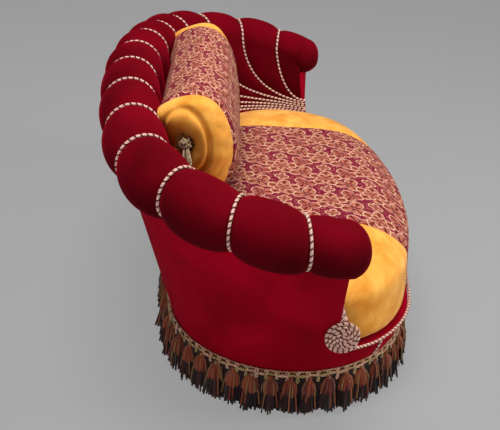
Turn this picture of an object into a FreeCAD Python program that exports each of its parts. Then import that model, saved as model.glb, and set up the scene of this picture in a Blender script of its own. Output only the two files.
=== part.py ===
"""Clamshell sofa: a bow-fronted settee whose arms and back are one sweep of fluted, rolled channels.

Millimetres. The floor is z = 0, the front faces -Y and the left arm, seen from the front, is at -X.
"""
import FreeCAD
import Part
import Sketcher
import math
import os
from FreeCAD import Placement, Rotation, Vector

UP = Vector(0, 0, 1)

SIZES = {
    "base_half_length": (725, "half length of the oval base at the braid"),
    "base_half_depth": (395, "half depth of the oval base at the braid"),
    "base_end_radius": (372, "radius of the base oval's ends"),
    "base_centre_y": (-95.5, "centre of the base oval, front to back"),
    "base_arm_reach": (18, "degrees the foot of an arm runs forward of the widest point"),
    "flare_sideways": (128, "how far the roll's middle stands outside the base at the ends"),
    "flare_in_depth": (74, "how much deeper the roll's oval is than the base, each way"),
    "flare_of_ends": (46, "how much wider the roll's oval is at its ends"),
    "flare_backward": (61, "how far the roll's oval lies behind the base"),
    "top_half_length": ("=base_half_length + flare_sideways", "half length of the oval that the roll's middle follows"),
    "top_half_depth": ("=base_half_depth + flare_in_depth", "half depth of that oval"),
    "top_end_radius": ("=base_end_radius + flare_of_ends", "radius of its ends"),
    "top_centre_y": ("=base_centre_y + flare_backward", "its centre, front to back"),
    "top_arm_reach": (23.2, "degrees the roll runs forward of the widest point"),
    "roll_arm_height": (622, "height of the roll's middle at the arm fronts"),
    "roll_back_height": (800, "height of the roll's middle at the back"),
    "roll_rise_power": (1.8, "how evenly the roll climbs from arm to back"),
    "roll_seam_radius": (66, "radius of the roll at its seams"),
    "channel_sag": (0, "how far a channel's flat back cuts across the roll's bend, worked out below"),
    "core_space": (0.9, "space between the roll's core and the channels"),
    "roll_core_radius": ("=roll_seam_radius - channel_depth - channel_sag - core_space", "the roll's core"),
    "roll_start_turn": (-50, "degrees below level where the rolled channel starts, outside"),
    "roll_inside_turn": (168, "degrees where the channel leaves the roll, inside"),
    "roll_cap_height": (56, "how far the rounded roll ends stand forward"),
    "front_roll_share": (0.046, "share of the sweep taken by the front channel of each arm"),
    "channel_count": (15, "channels round the sweep"),
    "channel_crown": (0.14, "crown of a channel as a share of its width"),
    "channel_depth": (3.6, "edge thickness of a channel at its seams"),
    "channel_end_width": (20, "width at which a channel is drawn out, at the foot of the arm"),
    "cord_radius": (3.5, "radius of the twisted cords"),
    "cord_space": (1.5, "space between two cords where they meet at the foot of the arm"),
    "cord_slack": (1.2, "space beside a cord in its slot"),
    "cord_pitch": ("=2 * cord_radius + cord_space", "spacing of the cords where they meet"),
    "seam_half_gap": ("=cord_radius + cord_slack", "half the slot between two channels"),
    "seat_line_rise": (26, "line where the inside meets the seat, over the seat's widest line"),
    "seat_line_height": ("=seat_widest_height + seat_line_rise", "height of that line"),
    "wall_thickness": (70, "thickness of arm and back at the seat line"),
    "lining_thickness": (5, "inner lining board"),
    "lining_space": (1.1, "space between that board and the channels and cords before it"),
    "lining_drop": (45, "how far that board runs on below the seat line"),
    "cover_thickness": (4, "outside cover with its padding"),
    "braid_height": (150, "height of the covers' lower edge, over the braid"),
    "rail_bottom": (118, "underside of the seat rails"),
    "rail_top": (210, "top of the seat rails"),
    "rail_thickness": (45, "thickness of the seat rails"),
    "rail_inset": (8, "rail face behind the cover"),
    "border_rise": (3, "red border under the seat front, over the rail's top"),
    "border_top": ("=rail_top + border_rise", "top of that border"),
    "strap_space": (0.3, "space between crossing straps"),
    "seat_space": (0.5, "space between the straps and the seat"),
    "seat_bottom": ("=rail_top + 2 * webbing_thickness + strap_space + seat_space", "underside of the seat filling"),
    "seat_widest_height": (385, "height at which the seat is widest"),
    "seat_crown": (90, "rise of the seat from its widest line to its middle"),
    "seat_draw_in": (34, "how far the seat's sides draw in at the bottom"),
    "seat_over_ends": (3, "how far the seat reaches over the base at its ends"),
    "seat_over_front": (13, "how much deeper the seat is than the base, each way"),
    "seat_tighter_ends": (22, "how much tighter the seat's ends are rounded"),
    "seat_forward": (22, "how far the seat lies in front of the base"),
    "seat_half_length": ("=base_half_length + seat_over_ends", "half length of the seat at its widest"),
    "seat_half_depth": ("=base_half_depth + seat_over_front", "half depth of the seat at its widest"),
    "seat_end_radius": ("=base_end_radius - seat_tighter_ends", "radius of the seat's ends"),
    "seat_centre_y": ("=base_centre_y - seat_forward", "centre of the seat, front to back"),
    "seat_seam_x": (382, "seam between the middle and the end panels of the seat"),
    "seat_cover_thickness": (6, "seat cover with its wadding"),
    "foot_height": ("=rail_bottom - dust_thickness - glide_height", "tapered foot"),
    "foot_toe": (21, "half width of a foot where it stands"),
    "foot_taper": (4, "degrees a foot widens upward"),
    "foot_x": (450, "feet left and right of the middle"),
    "foot_inset": (45, "middle of a foot behind the base oval"),
    "foot_bore": (4.4, "hole for a foot bolt, corner to middle"),
    "glide_height": (3, "glide under a foot"),
    "glide_radius": (18, "radius of a glide"),
    "bolt_radius": (4, "foot bolt, corner to middle"),
    "bolt_length": (96, "foot bolt"),
    "bolt_start": (60, "lower end of a bolt over the glide"),
    "fit_space": (0.4, "space round pieces that are fitted together"),
    "stretcher_width": (40, "stretchers between the front and back rails"),
    "stretcher_height": (60, "stretchers between the front and back rails"),
    "stretcher_x": (240, "stretchers left and right of the middle"),
    "stretcher_drop": (62, "underside of the stretchers below the rail's top"),
    "block_leg": (95, "leg of a triangular corner block"),
    "block_height": (50, "height of a corner block"),
    "webbing_width": (60, "width of a webbing strap"),
    "webbing_thickness": (2, "thickness of a webbing strap"),
    "webbing_hold": (20, "how far a strap runs on over its rail"),
    "dust_thickness": (1.5, "dust cover"),
    "rib_thickness": (24, "arm and back ribs"),
    "rib_foot_inset": (16, "inner edge of a rib's foot behind the base oval"),
    "facing_thickness": (8, "padded facing of an arm front"),
    "facing_space": (0.9, "space behind that facing"),
    "facing_drop": (16, "upper end of that facing below the roll"),
    "facing_foot": (0.4, "width of that facing at its foot, as a share of its width at the seat line"),
    "braid_depth": (16, "height of the braid"),
    "braid_stand": (5, "how far the braid stands out"),
    "tassel_pitch": (55, "spacing of the tassels"),
    "tassel_radius": (15, "widest radius of a tassel"),
    "tassel_hem": (7, "height of the tassels' ends over the floor"),
    "rosette_turns": (4, "turns of cord in a rosette"),
    "rosette_ply": (0.9, "how much thicker the rosette's cord is, in radius"),
    "rosette_space": (1.2, "space between two turns of a rosette"),
    "rosette_pitch": ("=2 * (cord_radius + rosette_ply) + rosette_space", "spacing of the turns in a rosette"),
    "rosette_height": (310, "height of a rosette's middle"),
    "rosette_forward": (18, "rosette's middle in front of the arm"),
    "rosette_bed": (1.9, "how far a rosette beds in against the arm's corner"),
    "cushion_end_space": (408, "from the roll's middle at the ends to the cushion"),
    "cushion_half_length": ("=top_half_length - cushion_end_space", "half length of the loose cushion"),
    "cushion_half_height": (210, "half height of the loose cushion"),
    "cushion_half_depth": (105, "half thickness of the loose cushion"),
    "cushion_edge_radius": (86, "radius of the cushion's top and bottom"),
    "cushion_back_space": (0.47, "space between the cushion and the channels it leans on"),
    "cushion_seat_space": (1.65, "space between the cushion and the seat it stands on"),
    "cushion_tilt": (10, "degrees the cushion leans back"),
    "cushion_seam_x": (365, "seam between the cushion's middle and its ends"),
    "cushion_cover_thickness": (5, "cushion cover"),
}

doc = FreeCAD.newDocument("clamshell_sofa")
sheet = doc.addObject("Spreadsheet::Sheet", "Sizes")
for row, (alias, (number, note)) in enumerate(SIZES.items(), start=1):
    sheet.set("A%d" % row, note)
    sheet.set("B%d" % row, str(number))
    sheet.setAlias("B%d" % row, alias)
doc.recompute()


def size(alias):
    return float(sheet.get(alias))


class Oval:
    """A four-centre oval, walked by the length run from the middle of its back towards +X."""

    def __init__(self, half_length, half_depth, end_radius, centre_y):
        self.half_length = half_length
        self.half_depth = half_depth
        self.end_radius = end_radius
        self.centre_y = centre_y
        reach = half_length - end_radius
        self.side_radius = (reach ** 2 + half_depth ** 2 - end_radius ** 2) / (2 * (half_depth - end_radius))
        self.join = math.atan2(self.side_radius - half_depth, reach)
        self.side_run = self.side_radius * (math.pi / 2 - self.join)
        self.quarter = self.side_run + end_radius * self.join

    def at(self, run):
        """Point and outward normal, level with the floor."""
        whole = 4 * self.quarter
        run = run % whole
        flip_x = 1
        flip_y = 1
        if run > 2 * self.quarter:
            run = whole - run
            flip_x = -1
        if run > self.quarter:
            run = 2 * self.quarter - run
            flip_y = -1
        if run <= self.side_run:
            angle = math.pi / 2 - run / self.side_radius
            radius = self.side_radius
            middle = Vector(0, self.half_depth - self.side_radius, 0)
        else:
            angle = self.join - (run - self.side_run) / self.end_radius
            radius = self.end_radius
            middle = Vector(self.half_length - self.end_radius, 0, 0)
        normal = Vector(math.cos(angle), math.sin(angle), 0)
        point = middle + normal * radius
        return (Vector(flip_x * point.x, flip_y * point.y + self.centre_y, 0),
                Vector(flip_x * normal.x, flip_y * normal.y, 0))

    def breaks(self, first, last):
        """Runs from first to last, with the places where one arc gives way to the next."""
        joints = []
        for turn in (-1, 0, 1):
            start = turn * 4 * self.quarter
            for joint in (self.side_run, 2 * self.quarter - self.side_run,
                          2 * self.quarter + self.side_run, 4 * self.quarter - self.side_run):
                if first + 1 < start + joint < last - 1:
                    joints.append(start + joint)
        return [first] + sorted(joints) + [last]

    def arcs(self, first, last, offset, height):
        """Arc edges along the oval, offset outward, at one height."""
        edges = []
        runs = self.breaks(first, last)
        for start, stop in zip(runs, runs[1:]):
            spots = []
            for run in (start, (start + stop) / 2, stop):
                point, normal = self.at(run)
                spots.append(point + normal * offset + UP * height)
            edges.append(Part.Arc(*spots).toShape())
        return edges

    def ring(self, inset, height):
        """The whole oval, drawn in by inset, as one wire of four arcs."""
        small = Oval(self.half_length - inset, self.half_depth - inset, self.end_radius - inset, self.centre_y)
        first = small.side_run - 4 * small.quarter
        return Part.Wire(small.arcs(first, small.side_run, 0, height))

    def strip(self, first, last, outer, inner, height):
        """Outline of a curved strip between two offsets of the oval."""
        outside = self.arcs(first, last, outer, height)
        inside = self.arcs(first, last, inner, height)
        ends = []
        for run in (first, last):
            point, normal = self.at(run)
            ends.append(Part.makeLine(point + normal * outer + UP * height, point + normal * inner + UP * height))
        return Part.Wire(Part.__sortEdges__(outside + inside + ends))

    def band(self, first, last, outer, inner, bottom, top):
        """A curved slab between two offsets of the oval."""
        return Part.Face(self.strip(first, last, outer, inner, bottom)).extrude(UP * (top - bottom))


base = Oval(size("base_half_length"), size("base_half_depth"), size("base_end_radius"), size("base_centre_y"))
crest = Oval(size("top_half_length"), size("top_half_depth"), size("top_end_radius"), size("top_centre_y"))
base_half_run = base.quarter + base.end_radius * math.radians(size("base_arm_reach"))
crest_half_run = crest.quarter + crest.end_radius * math.radians(size("top_arm_reach"))
seam_radius = size("roll_seam_radius")
braid_height = size("braid_height")
seat_line = size("seat_line_height")


class Station:
    """One place round the sweep: share 0 is the left arm's front, 0.5 the middle of the back."""

    def __init__(self, share):
        self.base, self.base_normal = base.at((2 * share - 1) * base_half_run)
        self.base = self.base + UP * braid_height
        self.crest, self.normal = crest.at((2 * share - 1) * crest_half_run)
        climb = 1 - abs(2 * share - 1) ** size("roll_rise_power")
        low = size("roll_arm_height")
        self.crest = self.crest + UP * (low + (size("roll_back_height") - low) * climb)
        self.out = Vector(self.crest.x - self.base.x, self.crest.y - self.base.y, 0).normalize()
        self.under = self.on_roll(size("roll_start_turn") - 9, seam_radius - 2)
        self.leave = self.on_roll(size("roll_inside_turn"), seam_radius)
        inward = (self.out + self.normal).normalize()
        self.foot = self.outer(seat_line) - inward * size("wall_thickness")

    def on_roll(self, turn, radius):
        angle = math.radians(turn)
        return self.crest + self.normal * (radius * math.cos(angle)) + UP * (radius * math.sin(angle))

    def outer(self, height):
        """On the outside cover."""
        share = (height - self.base.z) / (self.under.z - self.base.z)
        return self.base + (self.under - self.base) * share

    def inner(self, height):
        """On the seams' surface inside."""
        share = (self.leave.z - height) / (self.leave.z - self.foot.z)
        return self.leave + (self.foot - self.leave) * share

    def inside(self, drop):
        """The same, by the share of the way down from the roll to the seat line."""
        return self.leave + (self.foot - self.leave) * drop


# Seams between channels: their share of the sweep, and how squarely each turns towards the foot of its arm.
front_share = size("front_roll_share")
count = int(size("channel_count"))
half_count = count // 2
step = (1 - 2 * front_share) / (count - 2)
half_bend = step * crest_half_run / crest.end_radius
sheet.set("channel_sag", str(crest.end_radius * (1 - math.cos(half_bend))))
doc.recompute()
seam_shares = [0.0] + [front_share + step * i for i in range(half_count)]
seam_turns = [2.0, 2.0, 2.0, 2.1, 2.3, 2.6, 3.2, 8.0]
cord_spread = size("cord_pitch") / (Station(0).leave.z - seat_line)


def seam_inside(index, sweep):
    """Share of the sweep and drop on a seam of the left half, sweep 0 at the roll to 90 at the arm's foot."""
    angle = math.radians(sweep)
    power = seam_turns[index]
    reach = (math.cos(angle) ** power + math.sin(angle) ** power) ** (-1 / power)
    drop = (1 - cord_spread * (half_count - index)) * math.sin(angle) * reach
    return seam_shares[index] * math.cos(angle) * reach, drop


def seam_point(index, sweep, mirrored):
    share, drop = seam_inside(index, sweep)
    point = Station(share).inside(drop)
    if mirrored:
        point = Vector(-point.x, point.y, point.z)
    return point


def wall_normal(share, drop):
    """Into the sofa, square to the inside surface."""
    nudge = 0.004
    ahead = Station(share + nudge).inside(drop) - Station(share - nudge).inside(drop)
    down = Station(share).foot - Station(share).leave
    normal = down.cross(ahead).normalize()
    if normal.dot(Station(share).out) > 0:
        normal = normal * -1
    return normal


def mirror_x(vector):
    return Vector(-vector.x, vector.y, vector.z)


parts = []


def keep(obj, label):
    obj.Label = label
    parts.append(obj)
    return obj


def shaped(label, shape):
    obj = doc.addObject("Part::Feature", label)
    obj.Shape = shape
    return keep(obj, label)


def group(label, shapes):
    return shaped(label, Part.makeCompound(shapes))


def polygon(points):
    return Part.makePolygon(list(points) + [points[0]])


def loft(wires):
    shape = Part.makeLoft(wires, True, True)
    if shape.Volume < 0:
        shape.reverse()
    return shape


def faceted(rings):
    """Closed solid of flat faces through rings of as many points each."""
    faces = [Part.Face(polygon(rings[0])), Part.Face(polygon(rings[-1]))]
    for lower, upper in zip(rings, rings[1:]):
        number = len(lower)
        for i in range(number):
            k = (i + 1) % number
            faces.append(Part.Face(polygon([lower[i], lower[k], upper[k]])))
            faces.append(Part.Face(polygon([lower[i], upper[k], upper[i]])))
    shape = Part.Solid(Part.Shell(faces))
    if shape.Volume < 0:
        shape.reverse()
    return shape


def primitive(kind, label, bindings, placement=None):
    obj = doc.addObject(kind, label)
    for prop, expression in bindings.items():
        obj.setExpression(prop, expression)
    if placement:
        obj.Placement = placement
    return obj


# Seat frame: four curved rails on the base oval, cut as rings from cylinders.
SIDE_RADIUS = ("((Sizes.base_half_length - Sizes.base_end_radius)^2 + Sizes.base_half_depth^2"
               " - Sizes.base_end_radius^2) / (2 * (Sizes.base_half_depth - Sizes.base_end_radius))")
JOIN = "atan((%s - Sizes.base_half_depth) / (Sizes.base_half_length - Sizes.base_end_radius))" % SIDE_RADIUS
RAIL_HEIGHT = "Sizes.rail_top - Sizes.rail_bottom"


def curved_rail(label, radius, sweep, middle, start):
    blank = primitive("Part::Cylinder", label + "_blank", {
        "Radius": radius + " - Sizes.rail_inset", "Height": RAIL_HEIGHT, "Angle": sweep})
    hollow = primitive("Part::Cylinder", label + "_hollow", {
        "Radius": radius + " - Sizes.rail_inset - Sizes.rail_thickness", "Height": RAIL_HEIGHT})
    rail = doc.addObject("Part::Cut", label)
    rail.Base = blank
    rail.Tool = hollow
    rail.Placement = Placement(Vector(middle.x, middle.y, size("rail_bottom")), Rotation(UP, start))
    return rail


join_degrees = math.degrees(base.join)
side_middle = base.side_radius - base.half_depth
end_middle = base.half_length - base.end_radius
rails = {
    "front_rail": curved_rail("front_rail_ring", SIDE_RADIUS, "180 deg - 2 * " + JOIN,
                              Vector(0, base.centre_y + side_middle, 0), 180 + join_degrees),
    "back_rail": curved_rail("back_rail_ring", SIDE_RADIUS, "180 deg - 2 * " + JOIN,
                             Vector(0, base.centre_y - side_middle, 0), join_degrees),
    "left_end_rail": curved_rail("left_end_rail_ring", "Sizes.base_end_radius", "2 * " + JOIN,
                                 Vector(-end_middle, base.centre_y, 0), 180 - join_degrees),
    "right_end_rail": curved_rail("right_end_rail_ring", "Sizes.base_end_radius", "2 * " + JOIN,
                                  Vector(end_middle, base.centre_y, 0), -join_degrees),
}
doc.recompute()


# Feet: one tapered block, stood six times behind the fringe.
def profile(body, plane, corners):
    """A closed outline in a body, each corner held by two named sizes."""
    sketch = body.newObject("Sketcher::SketchObject", body.Name + "_profile")
    planes = [feature for feature in body.Origin.OriginFeatures if feature.Role == plane]
    sketch.AttachmentSupport = [(planes[0], "")]
    sketch.MapMode = "FlatFace"
    spots = [Vector(sheet_number(a), sheet_number(b), 0) for a, b in corners]
    for start, stop in zip(spots, spots[1:] + spots[:1]):
        sketch.addGeometry(Part.LineSegment(start, stop), False)
    total = len(spots)
    for i in range(total):
        sketch.addConstraint(Sketcher.Constraint("Coincident", i, 2, (i + 1) % total, 1))
    for i, (across, rise) in enumerate(corners):
        for kind, text, axis in (("DistanceX", across, -2), ("DistanceY", rise, -1)):
            if text == "0":
                sketch.addConstraint(Sketcher.Constraint("PointOnObject", i, 1, axis))
                continue
            number = sheet_number(text)
            slot = sketch.addConstraint(Sketcher.Constraint(kind, -1, 1, i, 1, number))
            sketch.setExpression("Constraints[%d]" % slot, text)
    return sketch


def sheet_number(text):
    """The value of a sum of sheet cells, as the expressions write it."""
    total = 0.0
    sign = 1
    for word in text.split():
        if word == "+":
            sign = 1
        elif word == "-":
            sign = -1
        elif "*" in word:
            factor, alias = word.split("*")
            total += sign * float(factor) * size(alias.replace("Sizes.", ""))
        elif word.startswith("Sizes."):
            total += sign * size(word.replace("Sizes.", ""))
        else:
            total += sign * float(word)
    return total


foot = doc.addObject("PartDesign::Body", "foot_block")
foot_profile = profile(foot, "XY_Plane", [
    ("0 - Sizes.foot_toe", "0 - Sizes.foot_toe"), ("Sizes.foot_toe", "0 - Sizes.foot_toe"),
    ("Sizes.foot_toe", "Sizes.foot_toe"), ("0 - Sizes.foot_toe", "Sizes.foot_toe")])
foot_pad = foot.newObject("PartDesign::Pad", "foot_pad")
foot_pad.Profile = foot_profile
foot_pad.setExpression("Length", "Sizes.foot_height")
foot_pad.setExpression("TaperAngle", "Sizes.foot_taper")
doc.recompute()


def rail_spot(x, front):
    """Under the front or back of the base at x."""
    radius = base.side_radius - size("foot_inset")
    if abs(x) <= radius * math.cos(base.join):
        y = math.sqrt(radius ** 2 - x ** 2) - side_middle
    else:
        radius = base.end_radius - size("foot_inset")
        y = math.sqrt(radius ** 2 - (abs(x) - end_middle) ** 2)
    return Vector(x, base.centre_y + (-y if front else y), 0)


foot_spots = []
for foot_front in (True, False):
    for foot_x in (-size("foot_x"), 0, size("foot_x")):
        foot_spots.append(rail_spot(foot_x, foot_front))


def placed(shape, spot, angle=0):
    copy = shape.copy()
    copy.Placement = Placement(spot, Rotation(UP, angle)).multiply(copy.Placement)
    return copy


glide = primitive("Part::Prism", "glide", {"Circumradius": "Sizes.glide_radius", "Height": "Sizes.glide_height"})
glide.Polygon = 12
bolt = primitive("Part::Prism", "bolt", {"Circumradius": "Sizes.bolt_radius", "Height": "Sizes.bolt_length"})
bore = primitive("Part::Prism", "bore", {"Circumradius": "Sizes.foot_bore", "Height": "Sizes.bolt_length + 2 * Sizes.fit_space"})
doc.recompute()
group("foot_glides", [placed(glide.Shape, spot) for spot in foot_spots])
fit_space = size("fit_space")
bolt_start = UP * (size("glide_height") + size("bolt_start"))
group("foot_bolts", [placed(bolt.Shape, spot + bolt_start) for spot in foot_spots])
bores = Part.makeCompound([placed(bore.Shape, spot + bolt_start - UP * fit_space) for spot in foot_spots])
foot_lift = UP * size("glide_height")
group("feet", [placed(foot.Shape, spot + foot_lift).cut(bores) for spot in foot_spots])
for rail_label, rail in rails.items():
    shaped(rail_label, rail.Shape.cut(bores))

# Stretchers and corner blocks inside the rails.
stretcher_x = size("stretcher_x")
face_run = base.side_radius - size("rail_inset") - size("rail_thickness")
face_y = math.sqrt(face_run ** 2 - (stretcher_x + size("stretcher_width") / 2) ** 2) - side_middle - fit_space
front_face = base.centre_y - face_y
back_face = base.centre_y + face_y
stretcher = primitive("Part::Box", "stretcher", {
    "Length": "Sizes.stretcher_width", "Height": "Sizes.stretcher_height"})
stretcher.Width = back_face - front_face
block = doc.addObject("PartDesign::Body", "corner_block")
block_profile = profile(block, "XY_Plane", [
    ("0", "0"), ("Sizes.block_leg", "0"), ("0", "Sizes.block_leg")])
block_pad = block.newObject("PartDesign::Pad", "corner_block_pad")
block_pad.Profile = block_profile
block_pad.setExpression("Length", "Sizes.block_height")
doc.recompute()
stretcher_bottom = size("rail_top") - size("stretcher_drop")
group("seat_stretchers", [
    placed(stretcher.Shape, Vector(side * stretcher_x - size("stretcher_width") / 2, front_face, stretcher_bottom))
    for side in (-1, 1)])
blocks = []
for side, front, turn_by in ((-1, True, 0), (1, True, 90), (1, False, 180), (-1, False, 270)):
    corner_x = side * (stretcher_x - size("stretcher_width") / 2 - 0.3)
    corner_y = front_face + 1 if front else back_face - 1
    blocks.append(placed(block.Shape, Vector(corner_x, corner_y, stretcher_bottom + 4), turn_by))
group("corner_blocks", blocks)

# Webbing over the rails, and the dust cover under them.
strap_half = size("webbing_width") / 2
straps = []
for strap_x in (-370, -210, -140, -70, 70, 140, 210, 370):
    start_y = rail_spot(abs(strap_x) + strap_half, True).y - size("webbing_hold")
    stop_y = rail_spot(abs(strap_x) + strap_half, False).y + size("webbing_hold")
    straps.append(Part.makeBox(size("webbing_width"), stop_y - start_y, size("webbing_thickness"),
                               Vector(strap_x - strap_half, start_y, size("rail_top"))))
group("webbing_cross", straps)
straps = []
end_run = base.end_radius - size("foot_inset") + size("webbing_hold")
for strap_y in (-180, -90, 0, 90):
    reach = end_middle + math.sqrt(end_run ** 2 - max(abs(strap_y - strap_half), abs(strap_y + strap_half)) ** 2)
    straps.append(Part.makeBox(2 * reach, size("webbing_width"), size("webbing_thickness"),
                               Vector(-reach, base.centre_y + strap_y - strap_half,
                                      size("rail_top") + size("webbing_thickness") + size("strap_space"))))
group("webbing_long", straps)
dust_low = size("rail_bottom") - size("dust_thickness")
dust_wires = [base.ring(size("rail_inset") + 6, dust_low)]
for spot in foot_spots:
    corners = []
    for i in range(6):
        angle = math.pi * i / 3
        corners.append(spot + Vector(math.cos(angle), math.sin(angle), 0) * size("foot_bore") + UP * dust_low)
    dust_wires.append(polygon(corners))
shaped("dust_cover", Part.makeFace(dust_wires, "Part::FaceMakerBullseye").extrude(UP * size("dust_thickness")))

# Seat: a crowned, draw-sided cushion stacked from ovals, with a cover in three panels.
seat = Oval(size("seat_half_length"), size("seat_half_depth"), size("seat_end_radius"), size("seat_centre_y"))
crown_run = 300.0


def even_steps(points, number):
    """Points evenly spaced along a line of points."""
    runs = [0.0]
    for first, second in zip(points, points[1:]):
        runs.append(runs[-1] + math.dist(first, second))
    spots = []
    for i in range(number):
        goal = runs[-1] * i / (number - 1)
        k = 1
        while k < len(runs) - 1 and runs[k] < goal:
            k += 1
        share = (goal - runs[k - 1]) / (runs[k] - runs[k - 1])
        spots.append([a + (b - a) * share for a, b in zip(points[k - 1], points[k])])
    return spots


def seat_side(bottom):
    """Inset and height up the seat's side and over its crown."""
    wide = size("seat_widest_height")
    side = []
    for i in range(30):
        height = bottom + (wide - bottom) * i / 30
        lower = (wide - height) / (wide - size("seat_bottom"))
        side.append((size("seat_draw_in") * lower ** 2, height))
    for i in range(81):
        inset = (crown_run - 10) * (i / 80) ** 2
        side.append((inset, wide + size("seat_crown") * (1 - (1 - inset / crown_run) ** 3)))
    return side


def seat_core(skin, sink):
    """Filling: the same form in flat faces, set in by skin, its underside lowered by sink."""
    bottom = size("seat_bottom")
    rings = []
    for inset, height in even_steps(seat_side(bottom), 7):
        drawn = Oval(seat.half_length - inset - skin, seat.half_depth - inset - skin,
                     max(seat.end_radius - inset - skin, 2.0), seat.centre_y)
        height = height - sink if height == bottom else height - skin * min(1, inset / 60)
        rings.append([drawn.at(drawn.quarter * i / 7)[0] + UP * height for i in range(28)])
    return faceted(rings)


skin = size("seat_cover_thickness")
seat_levels = even_steps(seat_side(size("seat_bottom")), 9)
whole_seat = doc.addObject("Part::Feature", "seat_outline")
whole_seat.Shape = loft([seat.ring(inset, height) for inset, height in seat_levels])
filling = doc.addObject("Part::Feature", "seat_hollow")
filling.Shape = seat_core(skin, 1.0)
shell = doc.addObject("Part::Cut", "seat_shell")
shell.Base = whole_seat
shell.Tool = filling
shaped("seat_foam", seat_core(skin + 0.5, 0.0))
panel_gap = 0.2
middle_box = primitive("Part::Box", "seat_middle_box", {
    "Length": "2 * Sizes.seat_seam_x - 0.4", "Width": "4 * Sizes.seat_half_depth",
    "Height": "2 * Sizes.seat_line_height"})
middle_box.Placement.Base = Vector(panel_gap - size("seat_seam_x"), -2 * size("seat_half_depth"), 0)
end_box = primitive("Part::Box", "seat_end_box", {
    "Length": "Sizes.seat_half_length", "Width": "4 * Sizes.seat_half_depth",
    "Height": "2 * Sizes.seat_line_height"})
end_box.Placement.Base = Vector(size("seat_seam_x"), -2 * size("seat_half_depth"), 0)
left_box = primitive("Part::Box", "seat_left_box", {
    "Length": "Sizes.seat_half_length", "Width": "4 * Sizes.seat_half_depth",
    "Height": "2 * Sizes.seat_line_height"})
left_box.Placement.Base = Vector(-size("seat_seam_x") - size("seat_half_length"), -2 * size("seat_half_depth"), 0)
for label, box in (("seat_cover_middle", middle_box), ("seat_cover_right", end_box), ("seat_cover_left", left_box)):
    panel = doc.addObject("Part::Common", label)
    panel.Base = shell
    panel.Tool = box
    keep(panel, label)
doc.recompute()

# Ribs and posts, lining and outside covers follow the wall's inner and outer lines.
rib_gap = 0.5
rib_back = 1.8
rib_under_roll = 1.2
lining_back = max(size("channel_depth"), size("cord_radius")) + size("lining_space")
lining_depth = size("lining_thickness")
cover_depth = size("cover_thickness")


def rib(share):
    """A board across the wall's thickness, its ends cut to the lining and the cover."""
    half = size("rib_thickness") / 2 / (2 * crest_half_run)
    pair = (Station(share - half), Station(share + half))
    top = min(here.crest.z for here in pair) - size("roll_core_radius") - rib_under_roll
    foot_height = size("rail_top") + 0.2
    rings = []
    for height in (foot_height, seat_line - size("lining_drop"), seat_line, top):
        inner = [here.inner(height) + here.out * (lining_back + lining_depth + rib_gap) for here in pair]
        if height == foot_height:
            inner = [here.base - here.out * size("rib_foot_inset") for here in pair]
            for corner in inner:
                corner.z = foot_height
        outer = [here.outer(height) - here.out * (cover_depth + rib_back) for here in pair]
        rings.append([inner[0], inner[1], outer[1], outer[0]])
    return faceted(rings)


post_share = 0.018
group("arm_posts", [rib(post_share), rib(1 - post_share)])
group("back_ribs", [rib(share) for share in (0.14, 0.26, 0.38, 0.5, 0.62, 0.74, 0.86)])

split = seam_shares[4]


def spread(first, last, number):
    return [first + (last - first) * i / (number - 1) for i in range(number)]


SIDES = (("left", 0.0, split), ("back", split, 1 - split), ("right", 1 - split, 1.0))
trim = 0.0003
lining_first = 0.011


def core(first, last):
    rings = []
    for share in spread(first + trim, last - trim, 12):
        here = Station(share)
        rings.append([here.on_roll(36 * i + 18, size("roll_core_radius")) for i in range(10)])
    return faceted(rings)


def lining(first, last):
    wires = []
    for share in spread(max(first, lining_first) + trim, min(last, 1 - lining_first) - trim, 19):
        here = Station(share)
        low = here.inner(seat_line - size("lining_drop")) + here.out * lining_back
        high = here.inside(0.12) + here.out * lining_back
        deep = here.out * lining_depth
        wires.append(polygon([low, high, high + deep, low + deep]))
    return loft(wires)


def cover(first, last):
    wires = []
    steps = 3 + int(48 * (last - first))
    for share in spread(first + trim, last - trim, steps):
        here = Station(share)
        deep = here.out * -cover_depth
        wires.append(polygon([here.base, here.under, here.under + deep, here.base + deep]))
    return loft(wires)


group("roll_core", [core(first, last) for name, first, last in SIDES])
group("inner_lining", [lining(first, last) for name, first, last in SIDES])
for name, first, last in SIDES:
    shaped("outside_cover_" + name, cover(first, last))


def facing(mirrored):
    """Padded strip that closes an arm's front, from over the border to under the roll end."""
    here = Station(0)
    low = size("border_top") + fit_space
    top = here.crest.z - seam_radius - size("facing_drop")
    sections = []
    for height in (low, seat_line, top):
        outer = here.outer(height)
        inner = here.inner(max(height, seat_line)) + here.out * lining_back
        if height < seat_line:
            inner = outer + (inner - here.outer(seat_line)) * size("facing_foot")
        inner.z = height
        level = Vector(outer.x - inner.x, outer.y - inner.y, 0).normalize()
        ahead = level.cross(UP)
        if ahead.y > 0:
            ahead = ahead * -1
        near = ahead * size("facing_space")
        far = ahead * size("facing_thickness")
        corners = [inner + near, outer + near, outer + far, inner + far]
        if mirrored:
            corners = [mirror_x(corner) for corner in corners]
        sections.append(polygon(corners))
    return loft(sections)


group("arm_facings", [facing(False), facing(True)])


def roll_cap(share):
    """Rounded end of the roll, a dome on the channel's end."""
    here = Station(share)
    ahead = here.normal.cross(UP)
    if ahead.y > 0:
        ahead = ahead * -1
    rise = size("roll_cap_height")
    rim = seam_radius - 5
    wires = []
    for lift, wide in ((0.6, 1.0), (0.3 * rise, 0.97), (0.6 * rise, 0.84), (0.85 * rise, 0.6), (rise, 0.22)):
        ring = Part.Circle(here.crest + ahead * lift, ahead, rim * wide)
        wires.append(Part.Wire([ring.toShape()]))
    return loft(wires)


group("roll_end_caps", [roll_cap(0.0), roll_cap(1.0)])

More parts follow.
